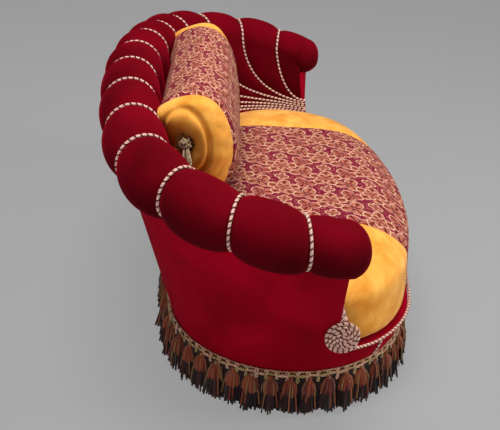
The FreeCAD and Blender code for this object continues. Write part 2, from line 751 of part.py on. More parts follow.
# Border under the bowed seat front, with its cord, drop cords, braid and fringe.
front_first = base_half_run
front_last = 4 * base.quarter - base_half_run
arm_front = Station(0.0)
cover_slope = (arm_front.under - arm_front.base).dot(arm_front.out) / (arm_front.under.z - arm_front.base.z)
border_lean = cover_slope * (size("border_top") - braid_height)
border_ends = (front_first + 1, front_last - 1)
border_back = fit_space - size("rail_inset")
shaped("front_border", loft([base.strip(*border_ends, 0, border_back, braid_height),
                             base.strip(*border_ends, border_lean, border_back, size("border_top"))]))
cord_radius = size("cord_radius")


def hexagon(middle, heading, up, radius):
    """Six-sided section of a cord, square to its heading."""
    across = heading.cross(up).normalize()
    rise = across.cross(heading).normalize()
    corners = []
    for i in range(6):
        angle = math.pi * i / 3
        corners.append(middle + across * (radius * math.cos(angle)) + rise * (radius * math.sin(angle)))
    return polygon(corners)


def tube(edges, up, radius):
    path = Part.Wire(edges)
    start = path.OrderedVertexes[0].Point
    edge = path.OrderedEdges[0]
    heading = edge.tangentAt(edge.FirstParameter)
    return path.makePipeShell([hexagon(start, heading, up, radius)], True, False)


border_cord = base.arcs(front_first + 30, front_last - 30, border_lean + cord_radius + fit_space,
                        size("border_top") - 2)
shaped("border_cord", tube(border_cord, UP, cord_radius))
drop_count = 9
drop_height = size("border_top") - braid_height - 2.4 * cord_radius


def drop_cord(run):
    """Short cord that lies up the leaning border."""
    point, normal = base.at(run)
    heading = (normal * cover_slope + UP).normalize()
    square = normal - heading * normal.dot(heading)
    square.normalize()
    start = point + UP * (braid_height + 1) + square * (cord_radius + fit_space) + normal * cover_slope
    length = drop_height / heading.z
    return loft([hexagon(start, heading, square, cord_radius),
                 hexagon(start + heading * length, heading, square, cord_radius)])


front_run = front_last - front_first
group("border_drop_cords", [drop_cord(front_first + front_run * (i + 1) / (drop_count + 1))
                            for i in range(drop_count)])

braid_low = braid_height - size("braid_depth")
bands = {
    "back": (-base.side_run, base.side_run),
    "right": (base.side_run, 2 * base.quarter - base.side_run),
    "front": (2 * base.quarter - base.side_run, 2 * base.quarter + base.side_run),
    "left": (2 * base.quarter + base.side_run, 4 * base.quarter - base.side_run),
}
group("braid", [base.band(first + 0.2, last - 0.2, size("braid_stand"), border_back, braid_low,
                          braid_height - fit_space) for first, last in bands.values()])


def tassel(run):
    """A bell-shaped upper skirt over a longer lower one."""
    point, normal = base.at(run)
    middle = point + normal * size("braid_stand")
    radius = size("tassel_radius")
    hem = size("tassel_hem")
    rings = []
    for height, wide in ((braid_low, 0.35), (0.58 * braid_low, 1.0), (0.54 * braid_low, 0.8), (hem, 1.0)):
        corners = []
        for i in range(6):
            angle = math.pi * i / 3
            corners.append(middle + Vector(math.cos(angle), math.sin(angle), 0) * (radius * wide) + UP * height)
        rings.append(corners)
    return faceted(rings)


for name, (first, last) in bands.items():
    number = int(round((last - first) / size("tassel_pitch")))
    pitch = (last - first) / number
    group("fringe_" + name, [tassel(first + pitch * (i + 0.5)) for i in range(number)])

# Channels: each a padded roll, from under the outside of the roll, over it and down to the foot of the arm.
channel_crown = size("channel_crown")
channel_depth = size("channel_depth")
half_gap = size("seam_half_gap")


roll_start = size("roll_start_turn")
roll_turns = [roll_start + (size("roll_inside_turn") - roll_start) * i / 10 for i in range(11)]
SWEEPS = (10, 20, 29, 37, 43, 47, 53, 61, 69, 76, 82)


crown_faces = {}


def pad_section(index, left, right, normal, left_gap, right_gap):
    """Flat base and crowned face between two seam points."""
    across = (right - left).normalize()
    start = left + across * left_gap
    stop = right - across * right_gap
    top = (start + stop) * 0.5 + normal * (channel_crown * start.distanceToPoint(stop))
    sink = normal * -channel_depth
    face = Part.Arc(start, top, stop)
    crown_faces.setdefault(index, []).append([face.value(way) for way in spread(face.FirstParameter, face.LastParameter, 9)])
    edges = [face.toShape(), Part.makeLine(stop, stop + sink),
             Part.makeLine(stop + sink, start + sink), Part.makeLine(start + sink, start)]
    return Part.Wire(edges)


def channel(index):
    """Channel between seam index and the next one, counted from the left arm's front."""
    left_share = seam_shares[index]
    middle = index == half_count
    right_share = 1 - left_share if middle else seam_shares[index + 1]
    first_gap = 0.8 if index == 0 else half_gap
    wires = []
    for turn in roll_turns:
        left = Station(left_share)
        right = Station(right_share)
        angle = math.radians(turn)
        mid_normal = (left.normal + right.normal).normalize()
        normal = mid_normal * math.cos(angle) + UP * math.sin(angle)
        wires.append(pad_section(index, left.on_roll(turn, seam_radius), right.on_roll(turn, seam_radius),
                                 normal, first_gap, half_gap))
    for sweep in SWEEPS:
        left_at, left_drop = seam_inside(index, sweep)
        left = Station(left_at).inside(left_drop)
        if middle:
            right = mirror_x(left)
            normal = wall_normal(0.5, left_drop)
            left_slant = right_slant = 1.0
            if sweep > 43:
                break
        else:
            right_at, right_drop = seam_inside(index + 1, sweep)
            right = Station(right_at).inside(right_drop)
            normal = wall_normal((left_at + right_at) / 2, (left_drop + right_drop) / 2)
            across = (right - left).normalize()
            left_way = seam_point(index, sweep + 0.5, False) - seam_point(index, sweep - 0.5, False)
            right_way = seam_point(index + 1, sweep + 0.5, False) - seam_point(index + 1, sweep - 0.5, False)
            left_slant = across.cross(left_way.normalize()).Length
            right_slant = across.cross(right_way.normalize()).Length
            if left.distanceToPoint(right) * min(left_slant, right_slant) < size("channel_end_width"):
                break
        wires.append(pad_section(index, left, right, normal, first_gap / left_slant, half_gap / right_slant))
    return loft(wires)


mirror_plane = (Vector(0, 0, 0), Vector(1, 0, 0))
left_channels = [channel(index) for index in range(half_count + 1)]
for index in range(count):
    if index <= half_count:
        pad = left_channels[index]
    else:
        pad = left_channels[count - 1 - index].mirror(*mirror_plane)
    shaped("channel_%02d" % (index + 1), pad)


def seam_cord(index):
    """Twisted cord lying in a seam, whole from the outside of the roll to the foot of the arm."""
    here = Station(seam_shares[index])
    ahead = here.normal.cross(UP)
    wires = []
    for turn in roll_turns:
        turn = max(turn, roll_start + 4)
        angle = math.radians(turn)
        out = here.normal * math.cos(angle) + UP * math.sin(angle)
        wires.append(hexagon(here.on_roll(turn, seam_radius), ahead.cross(out), out, cord_radius))
    for sweep in SWEEPS + (86, 88):
        share, drop = seam_inside(index, sweep)
        heading = seam_point(index, sweep + 0.4, False) - seam_point(index, sweep - 0.4, False)
        wires.append(hexagon(Station(share).inside(drop), heading.normalize(), wall_normal(share, drop), cord_radius))
    return loft(wires)


left_cords = [seam_cord(index) for index in range(1, half_count + 1)]
group("seam_cords_left", left_cords)
group("seam_cords_right", [cord.mirror(*mirror_plane) for cord in left_cords])


# Rosettes: one cord wound flat in half turns, on the corner of each arm's foot.
def rosette():
    here = Station(0.0)
    axis = (here.out + here.base_normal).normalize()
    sideways = UP.cross(axis)
    wire_radius = cord_radius + size("rosette_ply")
    pitch = size("rosette_pitch")
    forward = size("rosette_forward")
    top = (size("rosette_turns") - 0.45) * pitch + wire_radius
    corner_rise = math.sqrt(top ** 2 - (forward - size("facing_thickness")) ** 2)
    centre = here.outer(size("rosette_height")) + sideways * forward
    origin = centre + axis * (cover_slope * corner_rise + wire_radius + fit_space - size("rosette_bed"))
    edges = []
    samples = []
    radius = 0.55 * pitch
    middle = 0.0
    for half in range(int(2 * size("rosette_turns"))):
        side = 1 if half % 2 == 0 else -1
        spots = []
        for angle in (0, math.pi / 2, math.pi):
            across = middle + side * radius * math.cos(angle)
            spots.append(origin + sideways * across + UP * (side * radius * math.sin(angle)))
        edges.append(Part.Arc(*spots).toShape())
        for i in range(24):
            angle = math.pi * i / 24
            samples.append((half + i / 24, middle + side * radius * math.cos(angle), side * radius * math.sin(angle)))
        middle += side * pitch / 2
        radius += pitch / 2
    least = min(math.hypot(a[1] - b[1], a[2] - b[2]) for a in samples for b in samples if a[0] - b[0] > 1.2)
    print("rosette, least gap of the cord to itself: %.2f mm" % (least - 2 * wire_radius))
    return tube(edges, axis, wire_radius)


left_rosette = rosette()
group("rosettes", [left_rosette, left_rosette.mirror(*mirror_plane)])


# Loose cushion: stands on the seat and leans on the back.
# By share of the half length: the section's height and thickness, and how far its middle lies over the cushion's.
CUSHION_TAPER = ((0, 1.0, 1.0, 0), (0.55, 0.97, 1.0, 6), (0.86, 0.84, 0.94, 32), (0.96, 0.70, 0.85, 58),
                 (1, 0.55, 0.72, 76))
CUSHION_SECTIONS = [(-share, tall, thick, lift) for share, tall, thick, lift in CUSHION_TAPER[:0:-1]]
CUSHION_SECTIONS = CUSHION_SECTIONS + list(CUSHION_TAPER)
cushion_half = size("cushion_half_length")
cushion_turn = Rotation(Vector(1, 0, 0), -size("cushion_tilt"))


def cushion_outline(tall, thick, skin_depth):
    """Oval through the cushion, its long way upright."""
    return Oval(size("cushion_half_height") * tall - skin_depth, size("cushion_half_depth") * thick - skin_depth,
                size("cushion_edge_radius") * thick - skin_depth, 0)


def cushion_slice(x):
    """Oval through the cushion at x, and how far its middle lies over the cushion's."""
    share = abs(x) / cushion_half
    for lower, upper in zip(CUSHION_TAPER, CUSHION_TAPER[1:]):
        if share <= upper[0]:
            break
    way = (share - lower[0]) / (upper[0] - lower[0])
    tall, thick, lift = [a + (b - a) * way for a, b in zip(lower[1:], upper[1:])]
    return cushion_outline(tall, thick, 0), lift


def clearance(spots, y, z):
    """Least gap between a cushion with its middle at y, z and points, each with the slice it faces."""
    cosine = math.cos(math.radians(size("cushion_tilt")))
    sine = math.sin(math.radians(size("cushion_tilt")))
    gaps = []
    for point, outline, lift in spots:
        ahead = abs(cosine * (point.y - y) - sine * (point.z - z))
        above = abs(sine * (point.y - y) + cosine * (point.z - z) - lift)
        side_gap = math.hypot(above, ahead + outline.side_radius - outline.half_depth) - outline.side_radius
        reach = outline.half_length - outline.end_radius
        end_gap = math.hypot(above - reach, ahead) - outline.end_radius
        on_end = math.atan2(ahead, above - reach) < outline.join
        gaps.append(end_gap if on_end else side_gap)
    return min(gaps)


def facing_slice(points):
    return [(point, *cushion_slice(point.x)) for point in points if abs(point.x) < cushion_half]


# The channels' faces behind the cushion and the seat's crown below it, as points on their ruled faces.
behind = []
for index in range(half_count - 3, half_count + 1):
    for upper, lower in zip(crown_faces[index][10:], crown_faces[index][11:]):
        for way in (0, 0.25, 0.5, 0.75):
            behind += [a + (b - a) * way for a, b in zip(upper, lower)]
below = []
for (first_inset, first_height), (last_inset, last_height) in zip(seat_levels[4:], seat_levels[5:]):
    for way in (0, 0.2, 0.4, 0.6, 0.8, 1):
        inset = first_inset + (last_inset - first_inset) * way
        height = first_height + (last_height - first_height) * way
        line = Oval(seat.half_length - inset, seat.half_depth - inset, seat.end_radius - inset, seat.centre_y)
        below += [line.at(-line.quarter * i / 30)[0] + UP * height for i in range(31)]
behind = facing_slice(behind)
below = facing_slice(below)


def seated(spots, place, back_way, forth_way, space):
    """How far along a line the cushion may go towards what it rests on: back_way clear, forth_way not."""
    for i in range(24):
        middle = (back_way + forth_way) / 2
        if clearance(spots, *place(middle)) > space:
            back_way = middle
        else:
            forth_way = middle
    return back_way


cushion_y = seat.centre_y
cushion_z = size("roll_back_height")
for i in range(5):
    cushion_y = seated(behind, lambda y: (y, cushion_z), seat.centre_y, crest.centre_y + crest.half_depth,
                       size("cushion_back_space"))
    cushion_z = seated(below, lambda z: (cushion_y, z), 2 * size("roll_back_height"), size("seat_widest_height"),
                       size("cushion_seat_space"))
cushion_lean = Placement(Vector(0, cushion_y, cushion_z), cushion_turn)
print("cushion's middle at y %.2f, z %.2f" % (cushion_y, cushion_z))


def upright(x, flat, lift):
    """From an oval drawn flat to a place in the leaning cushion."""
    return cushion_lean.multVec(Vector(x, flat.y, flat.x + lift))


def cushion_ring(share, tall, thick, lift):
    outline = cushion_outline(tall, thick, 0)
    runs = outline.breaks(outline.side_run - 4 * outline.quarter, outline.side_run)
    edges = []
    for start, stop in zip(runs, runs[1:]):
        spots = [outline.at(run)[0] for run in (start, (start + stop) / 2, stop)]
        edges.append(Part.Arc(*[upright(cushion_half * share, spot, lift) for spot in spots]).toShape())
    return Part.Wire(edges)


def cushion_core(skin_depth):
    half = cushion_half - skin_depth
    rings = []
    for share, tall, thick, lift in CUSHION_SECTIONS:
        outline = cushion_outline(tall, thick, skin_depth)
        rings.append([upright(half * share, outline.at(outline.quarter * i / 4)[0], lift) for i in range(16)])
    return faceted(rings)


cushion_skin = size("cushion_cover_thickness")
cushion_whole = doc.addObject("Part::Feature", "cushion_outline")
cushion_whole.Shape = loft([cushion_ring(*section) for section in CUSHION_SECTIONS])
cushion_hollow = doc.addObject("Part::Feature", "cushion_hollow")
cushion_hollow.Shape = cushion_core(cushion_skin)
cushion_shell = doc.addObject("Part::Cut", "cushion_shell")
cushion_shell.Base = cushion_whole
cushion_shell.Tool = cushion_hollow
shaped("cushion_filling", cushion_core(cushion_skin + 0.5))
seam_x = size("cushion_seam_x")
for label, first, last in (("cushion_cover_middle", 0.2 - seam_x, seam_x - 0.2),
                           ("cushion_end_left", -2 * seam_x, -seam_x), ("cushion_end_right", seam_x, 2 * seam_x)):
    box = doc.addObject("Part::Box", label + "_box")
    box.Length = last - first
    box.Width = 2000
    box.Height = 2000
    box.Placement.Base = Vector(first, -1000, 0)
    panel = doc.addObject("Part::Common", label)
    panel.Base = cushion_shell
    panel.Tool = box
    keep(panel, label)


def tuft(side):
    """Rosette knot with a short tassel on a cushion end."""
    middle = upright(side * cushion_half, Vector(0, 0, 0), CUSHION_TAPER[-1][3])
    rings = []
    for lift, wide in ((0.4, 24), (9, 24), (13, 14)):
        rings.append([middle + Vector(side * lift, wide * math.cos(math.pi * i / 6), wide * math.sin(math.pi * i / 6))
                      for i in range(12)])
    knot = faceted(rings)
    rings = []
    for height, wide in ((6, 4), (-12, 8), (-22, 7), (-75, 15)):
        rings.append([middle + Vector(side * 20 + wide * math.cos(math.pi * i / 4),
                                      wide * math.sin(math.pi * i / 4), height) for i in range(8)])
    return knot.fuse(faceted(rings))


group("cushion_tufts", [tuft(-1), tuft(1)])
doc.recompute()

for obj in doc.Objects:
    if "Invalid" in obj.State or "Error" in obj.State:
        raise RuntimeError("%s: %s" % (obj.Label, obj.State))
os.makedirs("parts", exist_ok=True)
for obj in parts:
    if obj.Shape.isNull() or not obj.Shape.isValid():
        raise RuntimeError("%s has no sound shape" % obj.Label)
    obj.Shape.exportStep("parts/%s.step" % obj.Label)
box = Part.makeCompound([obj.Shape for obj in parts]).BoundBox
print("%d parts, x %.1f to %.1f, y %.1f to %.1f, z %.1f to %.1f" % (
    len(parts), box.XMin, box.XMax, box.YMin, box.YMax, box.ZMin, box.ZMax))
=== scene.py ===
"""Clamshell sofa: velvet flutes, twisted cords, a tassel fringe and soft covers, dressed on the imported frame.

Metres. The floor is z = 0, the front faces -Y and the left arm, seen from the front, is at -X.
"""

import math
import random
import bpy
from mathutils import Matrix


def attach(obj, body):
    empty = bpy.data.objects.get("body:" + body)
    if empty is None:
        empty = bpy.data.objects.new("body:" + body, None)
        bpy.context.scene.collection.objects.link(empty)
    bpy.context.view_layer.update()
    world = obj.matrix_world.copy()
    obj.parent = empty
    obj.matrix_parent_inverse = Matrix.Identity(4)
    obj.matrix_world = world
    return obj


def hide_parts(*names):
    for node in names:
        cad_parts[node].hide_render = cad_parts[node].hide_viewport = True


bl_info = {
    "name": "Clamshell sofa",
    "version": (1, 0, 0),
    "blender": (4, 5, 0),
    "location": "3D View > Sidebar > Sofa",
    "description": "Fluted velvet back, corded seams, tassel fringe and loose cushion of a clamshell sofa",
    "category": "Object",
}

import bpy
import numpy as np
from mathutils import Matrix, Vector

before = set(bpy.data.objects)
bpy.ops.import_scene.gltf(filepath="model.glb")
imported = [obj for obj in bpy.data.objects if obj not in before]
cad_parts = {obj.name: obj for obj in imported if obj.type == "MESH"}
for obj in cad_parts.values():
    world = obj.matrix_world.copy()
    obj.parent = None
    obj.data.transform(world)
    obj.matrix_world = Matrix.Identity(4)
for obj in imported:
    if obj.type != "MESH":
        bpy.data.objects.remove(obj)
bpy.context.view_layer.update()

UP = np.array([0.0, 0.0, 1.0])
LEVEL = np.array([1.0, 1.0, 0.0])
OTHER_SIDE = np.array([-1.0, 1.0, 1.0])
WHITE = (1, 1, 1, 1)
BLACK = (0, 0, 0, 1)


def linear(code):
    """An sRGB hex value as linear red, green, blue and alpha."""
    channels = []
    for i in (0, 2, 4):
        value = int(code[i:i + 2], 16) / 255
        channels.append(value / 12.92 if value <= 0.04045 else ((value + 0.055) / 1.055) ** 2.4)
    return (*channels, 1.0)


def unit(vectors):
    return vectors / np.linalg.norm(vectors, axis=-1, keepdims=True)


def between(first, last, share):
    return first + (last - first) * share


def ramp(values, start, end):
    """The share of the way from start to end, 0 before it and 1 after it."""
    return np.clip((values - start) / (end - start), 0, 1)


def ease(way):
    """A ramp with soft ends."""
    return way ** 2 * (3 - 2 * way)


def rounded(way):
    """Height of a quarter circle at a share of its run."""
    return np.sqrt(1 - (1 - way) ** 2)


def along(direction, amounts):
    """A direction times the amount at each point."""
    return direction * np.asarray(amounts)[..., None]


def forwards(vectors):
    """Vectors turned to point to the front."""
    return np.where(vectors[..., 1:2] > 0, -vectors, vectors)


def path_runs(points):
    """Length run at each point of a line."""
    return np.concatenate([[0], np.cumsum(np.linalg.norm(np.diff(points, axis=0), axis=1))])


# Sizes and colours that a user would change.
def length(label, default, text):
    return bpy.props.FloatProperty(name=label, description=text, default=default, unit="LENGTH", precision=4)


def colour(label, code, text):
    return bpy.props.FloatVectorProperty(
        name=label, description=text, default=linear(code), size=4, subtype="COLOR", min=0, max=1)


class SofaSizes(bpy.types.PropertyGroup):
    flute_edge: length("Flute edge", 0.003, "How far a flute's edge sinks into its seam")
    flute_crown: bpy.props.FloatProperty(
        name="Flute crown", description="Crown of a flute as a share of its width", default=0.17)
    cord_radius: length("Cord radius", 0.0046, "Radius of the cords sewn along the seams")
    cord_twist: length("Cord twist", 0.017, "Length in which a cord's strands go once round")
    rosette_cord: length("Rosette cord", 0.0052, "Radius of the cord wound into the rosettes")
    tassel_spread: length("Tassel spread", 0.025, "Radius of a tassel's lower skirt")
    voxel: length("Cloth mesh", 0.0065, "Mesh size of the simulated cushion")
    cushion_swell: length("Cushion swell", 0.014, "How far the cushion's filling may push its cover")
    seat_swell: length("Seat swell", 0.006, "How far the seat's filling may push its cover")


class SofaColours(bpy.types.PropertyGroup):
    velvet_deep: colour("Velvet, deep", "76000E", "Pile seen from straight above")
    velvet_lit: colour("Velvet, brushed", "9C001C", "Pile that was brushed towards the light")
    velvet_rim: colour("Velvet, sheen", "BC0028", "Light caught by the tips of the pile")
    gold_deep: colour("Gold, deep", "D2842A", "Gold pile seen from straight above")
    gold_lit: colour("Gold, brushed", "EFAC50", "Gold pile brushed towards the light")
    gold_rim: colour("Gold, sheen", "FFE2AC", "Light caught by the tips of the gold pile")
    ground: colour("Floral ground", "6E0A2A", "Ground of the floral cloth")
    petal: colour("Floral petals", "AA6C54", "Petals and leaves")
    outline: colour("Floral outlines", "D2A688", "Pale outlines of the motifs")
    blush: colour("Floral blush", "9C5046", "Inner shading of the petals")
    cord_pale: colour("Cord, pale", "E9BDAA", "Pale strands of the cords")
    cord_dark: colour("Cord, dark", "5E1020", "Dark strands of the cords")


# The frame's sweep: ovals in plan, and stations round the arms and back.
class Oval:
    """A four-centre oval, walked by the length run from the middle of its back towards +X."""

    def __init__(self, half_length, half_depth, end_radius, centre_y):
        self.half_length = half_length
        self.half_depth = half_depth
        self.end_radius = end_radius
        self.centre_y = centre_y
        reach = half_length - end_radius
        self.side_radius = (reach ** 2 + half_depth ** 2 - end_radius ** 2) / (2 * (half_depth - end_radius))
        self.join = math.atan2(self.side_radius - half_depth, reach)
        self.side_run = self.side_radius * (math.pi / 2 - self.join)
        self.quarter = self.side_run + end_radius * self.join
        self.whole = 4 * self.quarter

    def at(self, run):
        """Points and outward normals, level with the floor."""
        run = np.mod(np.asarray(run, float), self.whole)
        flip_x = np.where(run > 2 * self.quarter, -1.0, 1.0)
        run = np.where(run > 2 * self.quarter, self.whole - run, run)
        flip_y = np.where(run > self.quarter, -1.0, 1.0)
        run = np.where(run > self.quarter, 2 * self.quarter - run, run)
        on_side = run <= self.side_run
        angle = np.where(on_side, math.pi / 2 - run / self.side_radius,
                         self.join - (run - self.side_run) / self.end_radius)
        radius = np.where(on_side, self.side_radius, self.end_radius)
        middle_x = np.where(on_side, 0.0, self.half_length - self.end_radius)
        middle_y = np.where(on_side, self.half_depth - self.side_radius, 0.0)
        flat = np.zeros_like(angle)
        normal = np.stack([flip_x * np.cos(angle), flip_y * np.sin(angle), flat], -1)
        point = np.stack([flip_x * (middle_x + radius * np.cos(angle)),
                          flip_y * (middle_y + radius * np.sin(angle)) + self.centre_y, flat], -1)
        return point, normal

    def round(self, share):
        """The same, by the share of the whole way round."""
        return self.at(self.whole * share)

    def drawn_in(self, inset):
        return Oval(self.half_length - inset, self.half_depth - inset, self.end_radius - inset, self.centre_y)


BASE = Oval(0.725, 0.395, 0.372, -0.0955)
CREST = Oval(0.853, 0.469, 0.418, -0.0345)
SEAT = Oval(0.728, 0.408, 0.350, -0.1175)
BASE_HALF_RUN = BASE.quarter + BASE.end_radius * math.radians(18)
CREST_HALF_RUN = CREST.quarter + CREST.end_radius * math.radians(23.2)
ROLL_ARM_HEIGHT = 0.622
ROLL_BACK_HEIGHT = 0.800
ROLL_RISE_POWER = 1.8
ROLL_RADIUS = 0.066
ROLL_INSIDE = 168
ROLL_OUTSIDE = -66
COVER_TURN = -59
COVER_UNDER = 0.002
BRAID_TOP = 0.150
BRAID_LOW = 0.134
SEAT_LINE = 0.411
WALL = 0.070
CORD_PITCH = 0.0085
SEAM_TURNS = (2.0, 2.0, 2.0, 2.1, 2.3, 2.6, 3.2, 8.0)
FRONT_SHARE = 0.046
FLUTE_COUNT = 15
HALF_COUNT = FLUTE_COUNT // 2
FLUTE_STEP = (1 - 2 * FRONT_SHARE) / (FLUTE_COUNT - 2)
SEAM_SHARES = [0.0] + [FRONT_SHARE + FLUTE_STEP * i for i in range(HALF_COUNT)]
SPLIT = SEAM_SHARES[4]


class Station:
    """Places round the sweep: share 0 is the left arm's front, 0.5 the middle of the back."""

    def __init__(self, share):
        share = np.asarray(share, float)
        self.base, self.base_normal = BASE.at((2 * share - 1) * BASE_HALF_RUN)
        self.base = self.base + UP * BRAID_TOP
        self.crest, self.normal = CREST.at((2 * share - 1) * CREST_HALF_RUN)
        climb = 1 - np.abs(2 * share - 1) ** ROLL_RISE_POWER
        self.crest = self.crest + along(UP, between(ROLL_ARM_HEIGHT, ROLL_BACK_HEIGHT, climb))
        self.out = unit((self.crest - self.base) * LEVEL)
        self.under = self.on_roll(COVER_TURN, ROLL_RADIUS - COVER_UNDER)
        self.leave = self.on_roll(ROLL_INSIDE, ROLL_RADIUS)
        self.foot = self.outer(SEAT_LINE) - unit(self.out + self.normal) * WALL

    def on_roll(self, turn, radius):
        angle = np.radians(turn)
        return self.crest + along(self.normal, radius * np.cos(angle)) + along(UP, radius * np.sin(angle))

    def roll_normal(self, turn):
        angle = np.radians(turn)
        return along(self.normal, np.cos(angle)) + along(UP, np.sin(angle))

    def outer(self, height):
        """On the outside cover."""
        share = (height - self.base[..., 2]) / (self.under[..., 2] - self.base[..., 2])
        return between(self.base, self.under, share[..., None])

    def inner(self, height):
        """On the seams' surface inside."""
        return self.inside((self.leave[..., 2] - height) / (self.leave[..., 2] - self.foot[..., 2]))

    def inside(self, drop):
        """The same, by the share of the way down from the roll to the seat line."""
        return between(self.leave, self.foot, np.asarray(drop)[..., None])


ARM_FRONT = Station(0.0)
CORD_SPREAD = CORD_PITCH / (ARM_FRONT.leave[2] - SEAT_LINE)
COVER_SLOPE = np.dot(ARM_FRONT.under - ARM_FRONT.base, ARM_FRONT.out) / (ARM_FRONT.under[2] - BRAID_TOP)
BORDER_TOP = 0.224
BORDER_LEAN = COVER_SLOPE * (BORDER_TOP - BRAID_TOP)


def seam_inside(index, sweep):
    """Share of the sweep and drop on a seam of the left half, sweep 0 at the roll to 90 at the arm's foot."""
    angle = np.radians(sweep)
    power = SEAM_TURNS[index]
    reach = (np.cos(angle) ** power + np.sin(angle) ** power) ** (-1 / power)
    drop = (1 - CORD_SPREAD * (HALF_COUNT - index)) * np.sin(angle) * reach
    return SEAM_SHARES[index] * np.cos(angle) * reach, drop


def wall_normal(share, drop):
    """Into the sofa, square to the inside surface."""
    nudge = 0.004
    here = Station(share)
    ahead = Station(share + nudge).inside(drop) - Station(share - nudge).inside(drop)
    normal = unit(np.cross(here.foot - here.leave, ahead))
    facing_out = np.sum(normal * here.out, axis=-1, keepdims=True)
    return np.where(facing_out > 0, -normal, normal)


# Modelling helpers.
def deselect():
    bpy.ops.object.select_all(action="DESELECT")


def pick(obj):
    deselect()
    obj.select_set(True)
    bpy.context.view_layer.objects.active = obj


def rename(obj, name):
    obj.name = name
    obj.data.name = name
    return obj


def copied(obj, name):
    """A copy with a mesh of its own."""
    copy = obj.copy()
    copy.data = obj.data.copy()
    bpy.context.scene.collection.objects.link(copy)
    return rename(copy, name)


def mirrored(obj, name):
    """The same piece on the other side."""
    copy = copied(obj, name)
    copy.data.transform(Matrix.Scale(-1, 4, Vector((1, 0, 0))))
    copy.data.flip_normals()
    return copy


def read(obj, key):
    """Each point's place, "co", or its "normal"."""
    flat = np.empty(len(obj.data.vertices) * 3, np.float32)
    obj.data.vertices.foreach_get(key, flat)
    return flat.reshape(-1, 3).astype(float)


def grid(name, columns, rows):
    """A flat grid to be shaped, with the share of the way across and along it at each point."""
    deselect()
    bpy.ops.mesh.primitive_grid_add(x_subdivisions=columns, y_subdivisions=rows, size=2)
    obj = rename(bpy.context.object, name)
    flat = read(obj, "co")
    return obj, (flat[:, 0] + 1) / 2, (flat[:, 1] + 1) / 2


def shape(obj, points):
    obj.data.vertices.foreach_set("co", np.ascontiguousarray(points, dtype=np.float32).ravel())
    obj.data.update()


def mark(obj, name, values):
    """A number at each point, which a material reads."""
    attribute = obj.data.attributes.new(name, "FLOAT", "POINT")
    attribute.data.foreach_set("value", np.asarray(values, np.float32))


def weld(obj, fill):
    """Joins the edges of a grid that meet, closes its ends and turns its faces outwards."""
    pick(obj)
    bpy.ops.object.mode_set(mode="EDIT")
    bpy.ops.mesh.select_all(action="SELECT")
    bpy.ops.mesh.remove_doubles(threshold=0.00002)
    if fill:
        bpy.ops.mesh.fill_holes(sides=0)
        bpy.ops.mesh.select_all(action="SELECT")
    bpy.ops.mesh.normals_make_consistent(inside=False)
    bpy.ops.object.mode_set(mode="OBJECT")


def modify(obj, kind, **settings):
    """Adds a modifier and applies it."""
    pick(obj)
    modifier = obj.modifiers.new(kind.lower(), kind)
    for key, value in settings.items():
        setattr(modifier, key, value)
    bpy.ops.object.modifier_apply(modifier=modifier.name)


def subdivide(obj):
    modify(obj, "SUBSURF", levels=1, render_levels=1)


def thicken(obj, thickness):
    """Welds a shaped grid and gives it its thickness, inwards."""
    weld(obj, fill=False)
    modify(obj, "SOLIDIFY", thickness=thickness, offset=-1)


def join(name, objects):
    deselect()
    for obj in objects:
        obj.select_set(True)
    bpy.context.view_layer.objects.active = objects[0]
    bpy.ops.object.join()
    return rename(objects[0], name)


def lumps(points, size):
    """A gentle unevenness between -1 and 1, the same on every run."""
    spots = points / size
    first = np.sin(spots[:, 0] * 1.3 + 0.7 * spots[:, 1] + 1.1 * spots[:, 2])
    second = np.sin(spots[:, 1] * 1.7 - 0.9 * spots[:, 2] + 2.1)
    third = np.sin(spots[:, 2] * 1.9 + 1.2 * spots[:, 0] + 0.4)
    return (first + second + third) / 3


# Painted shade on the velvet: a mark that darkens the colour everywhere, most where a padded piece faces down.
PAINTED_SHADE_ON_TOP = 0.75
PAINTED_SHADE_TURNS = (0.62, -0.43)


def mark_painted_shade(obj):
    """Marks painted shade on a padded piece by which way its surface faces, from its top to 1 underneath; the
    velvet darkens its colour by it.
    """
    upright = read(obj, "normal")[:, 2]
    mark(obj, "against_pile", between(PAINTED_SHADE_ON_TOP, 1.0, ramp(upright, *PAINTED_SHADE_TURNS)))


def cloth_map(obj, across, upward):
    """A UV map in metres, from two values at each point."""
    layer = obj.data.uv_layers.get("cloth") or obj.data.uv_layers.new(name="cloth")
    obj.data.uv_layers.active = layer
    corners = np.empty(len(obj.data.loops), np.int32)
    obj.data.loops.foreach_get("vertex_index", corners)
    layer.data.foreach_set("uv", np.stack([across[corners], upward[corners]], -1).astype(np.float32).ravel())


materials = {}


def finish_with(obj, finish):
    obj.data.materials.clear()
    obj.data.materials.append(materials[finish])


def dress(obj, finish, nodes=(), body="sofa"):
    """Gives a finished piece its material and smooth shading, puts it in its body and hides the frame parts it
    stands for.
    """
    finish_with(obj, finish)
    pick(obj)
    bpy.ops.object.shade_smooth_by_angle(angle=math.radians(60))
    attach(obj, body)
    if nodes:
        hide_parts(*nodes)


# Materials.
MIX = {"data_type": "RGBA"}
MULTIPLY = {"data_type": "RGBA", "blend_type": "MULTIPLY"}


def add(tree, kind, inputs=None, stops=None, **settings):
    """A node with its settings; an input is a number, a colour, a socket or a node, for its first output."""
    node = tree.nodes.new("ShaderNode" + kind)
    for key, value in settings.items():
        setattr(node, key, value)
    for key, value in (inputs or {}).items():
        if isinstance(value, bpy.types.Node):
            value = value.outputs[0]
        if isinstance(value, bpy.types.NodeSocket):
            tree.links.new(value, node.inputs[key])
        else:
            node.inputs[key].default_value = value
    if stops:
        elements = node.color_ramp.elements
        while len(elements) < len(stops):
            elements.new(0.5)
        for element, (place, shade) in zip(elements, stops):
            element.position = place
            element.color = shade
    return node


def blank(name):
    material = bpy.data.materials.new(name)
    material.use_nodes = True
    tree = material.node_tree
    return material, tree, tree.nodes["Principled BSDF"]


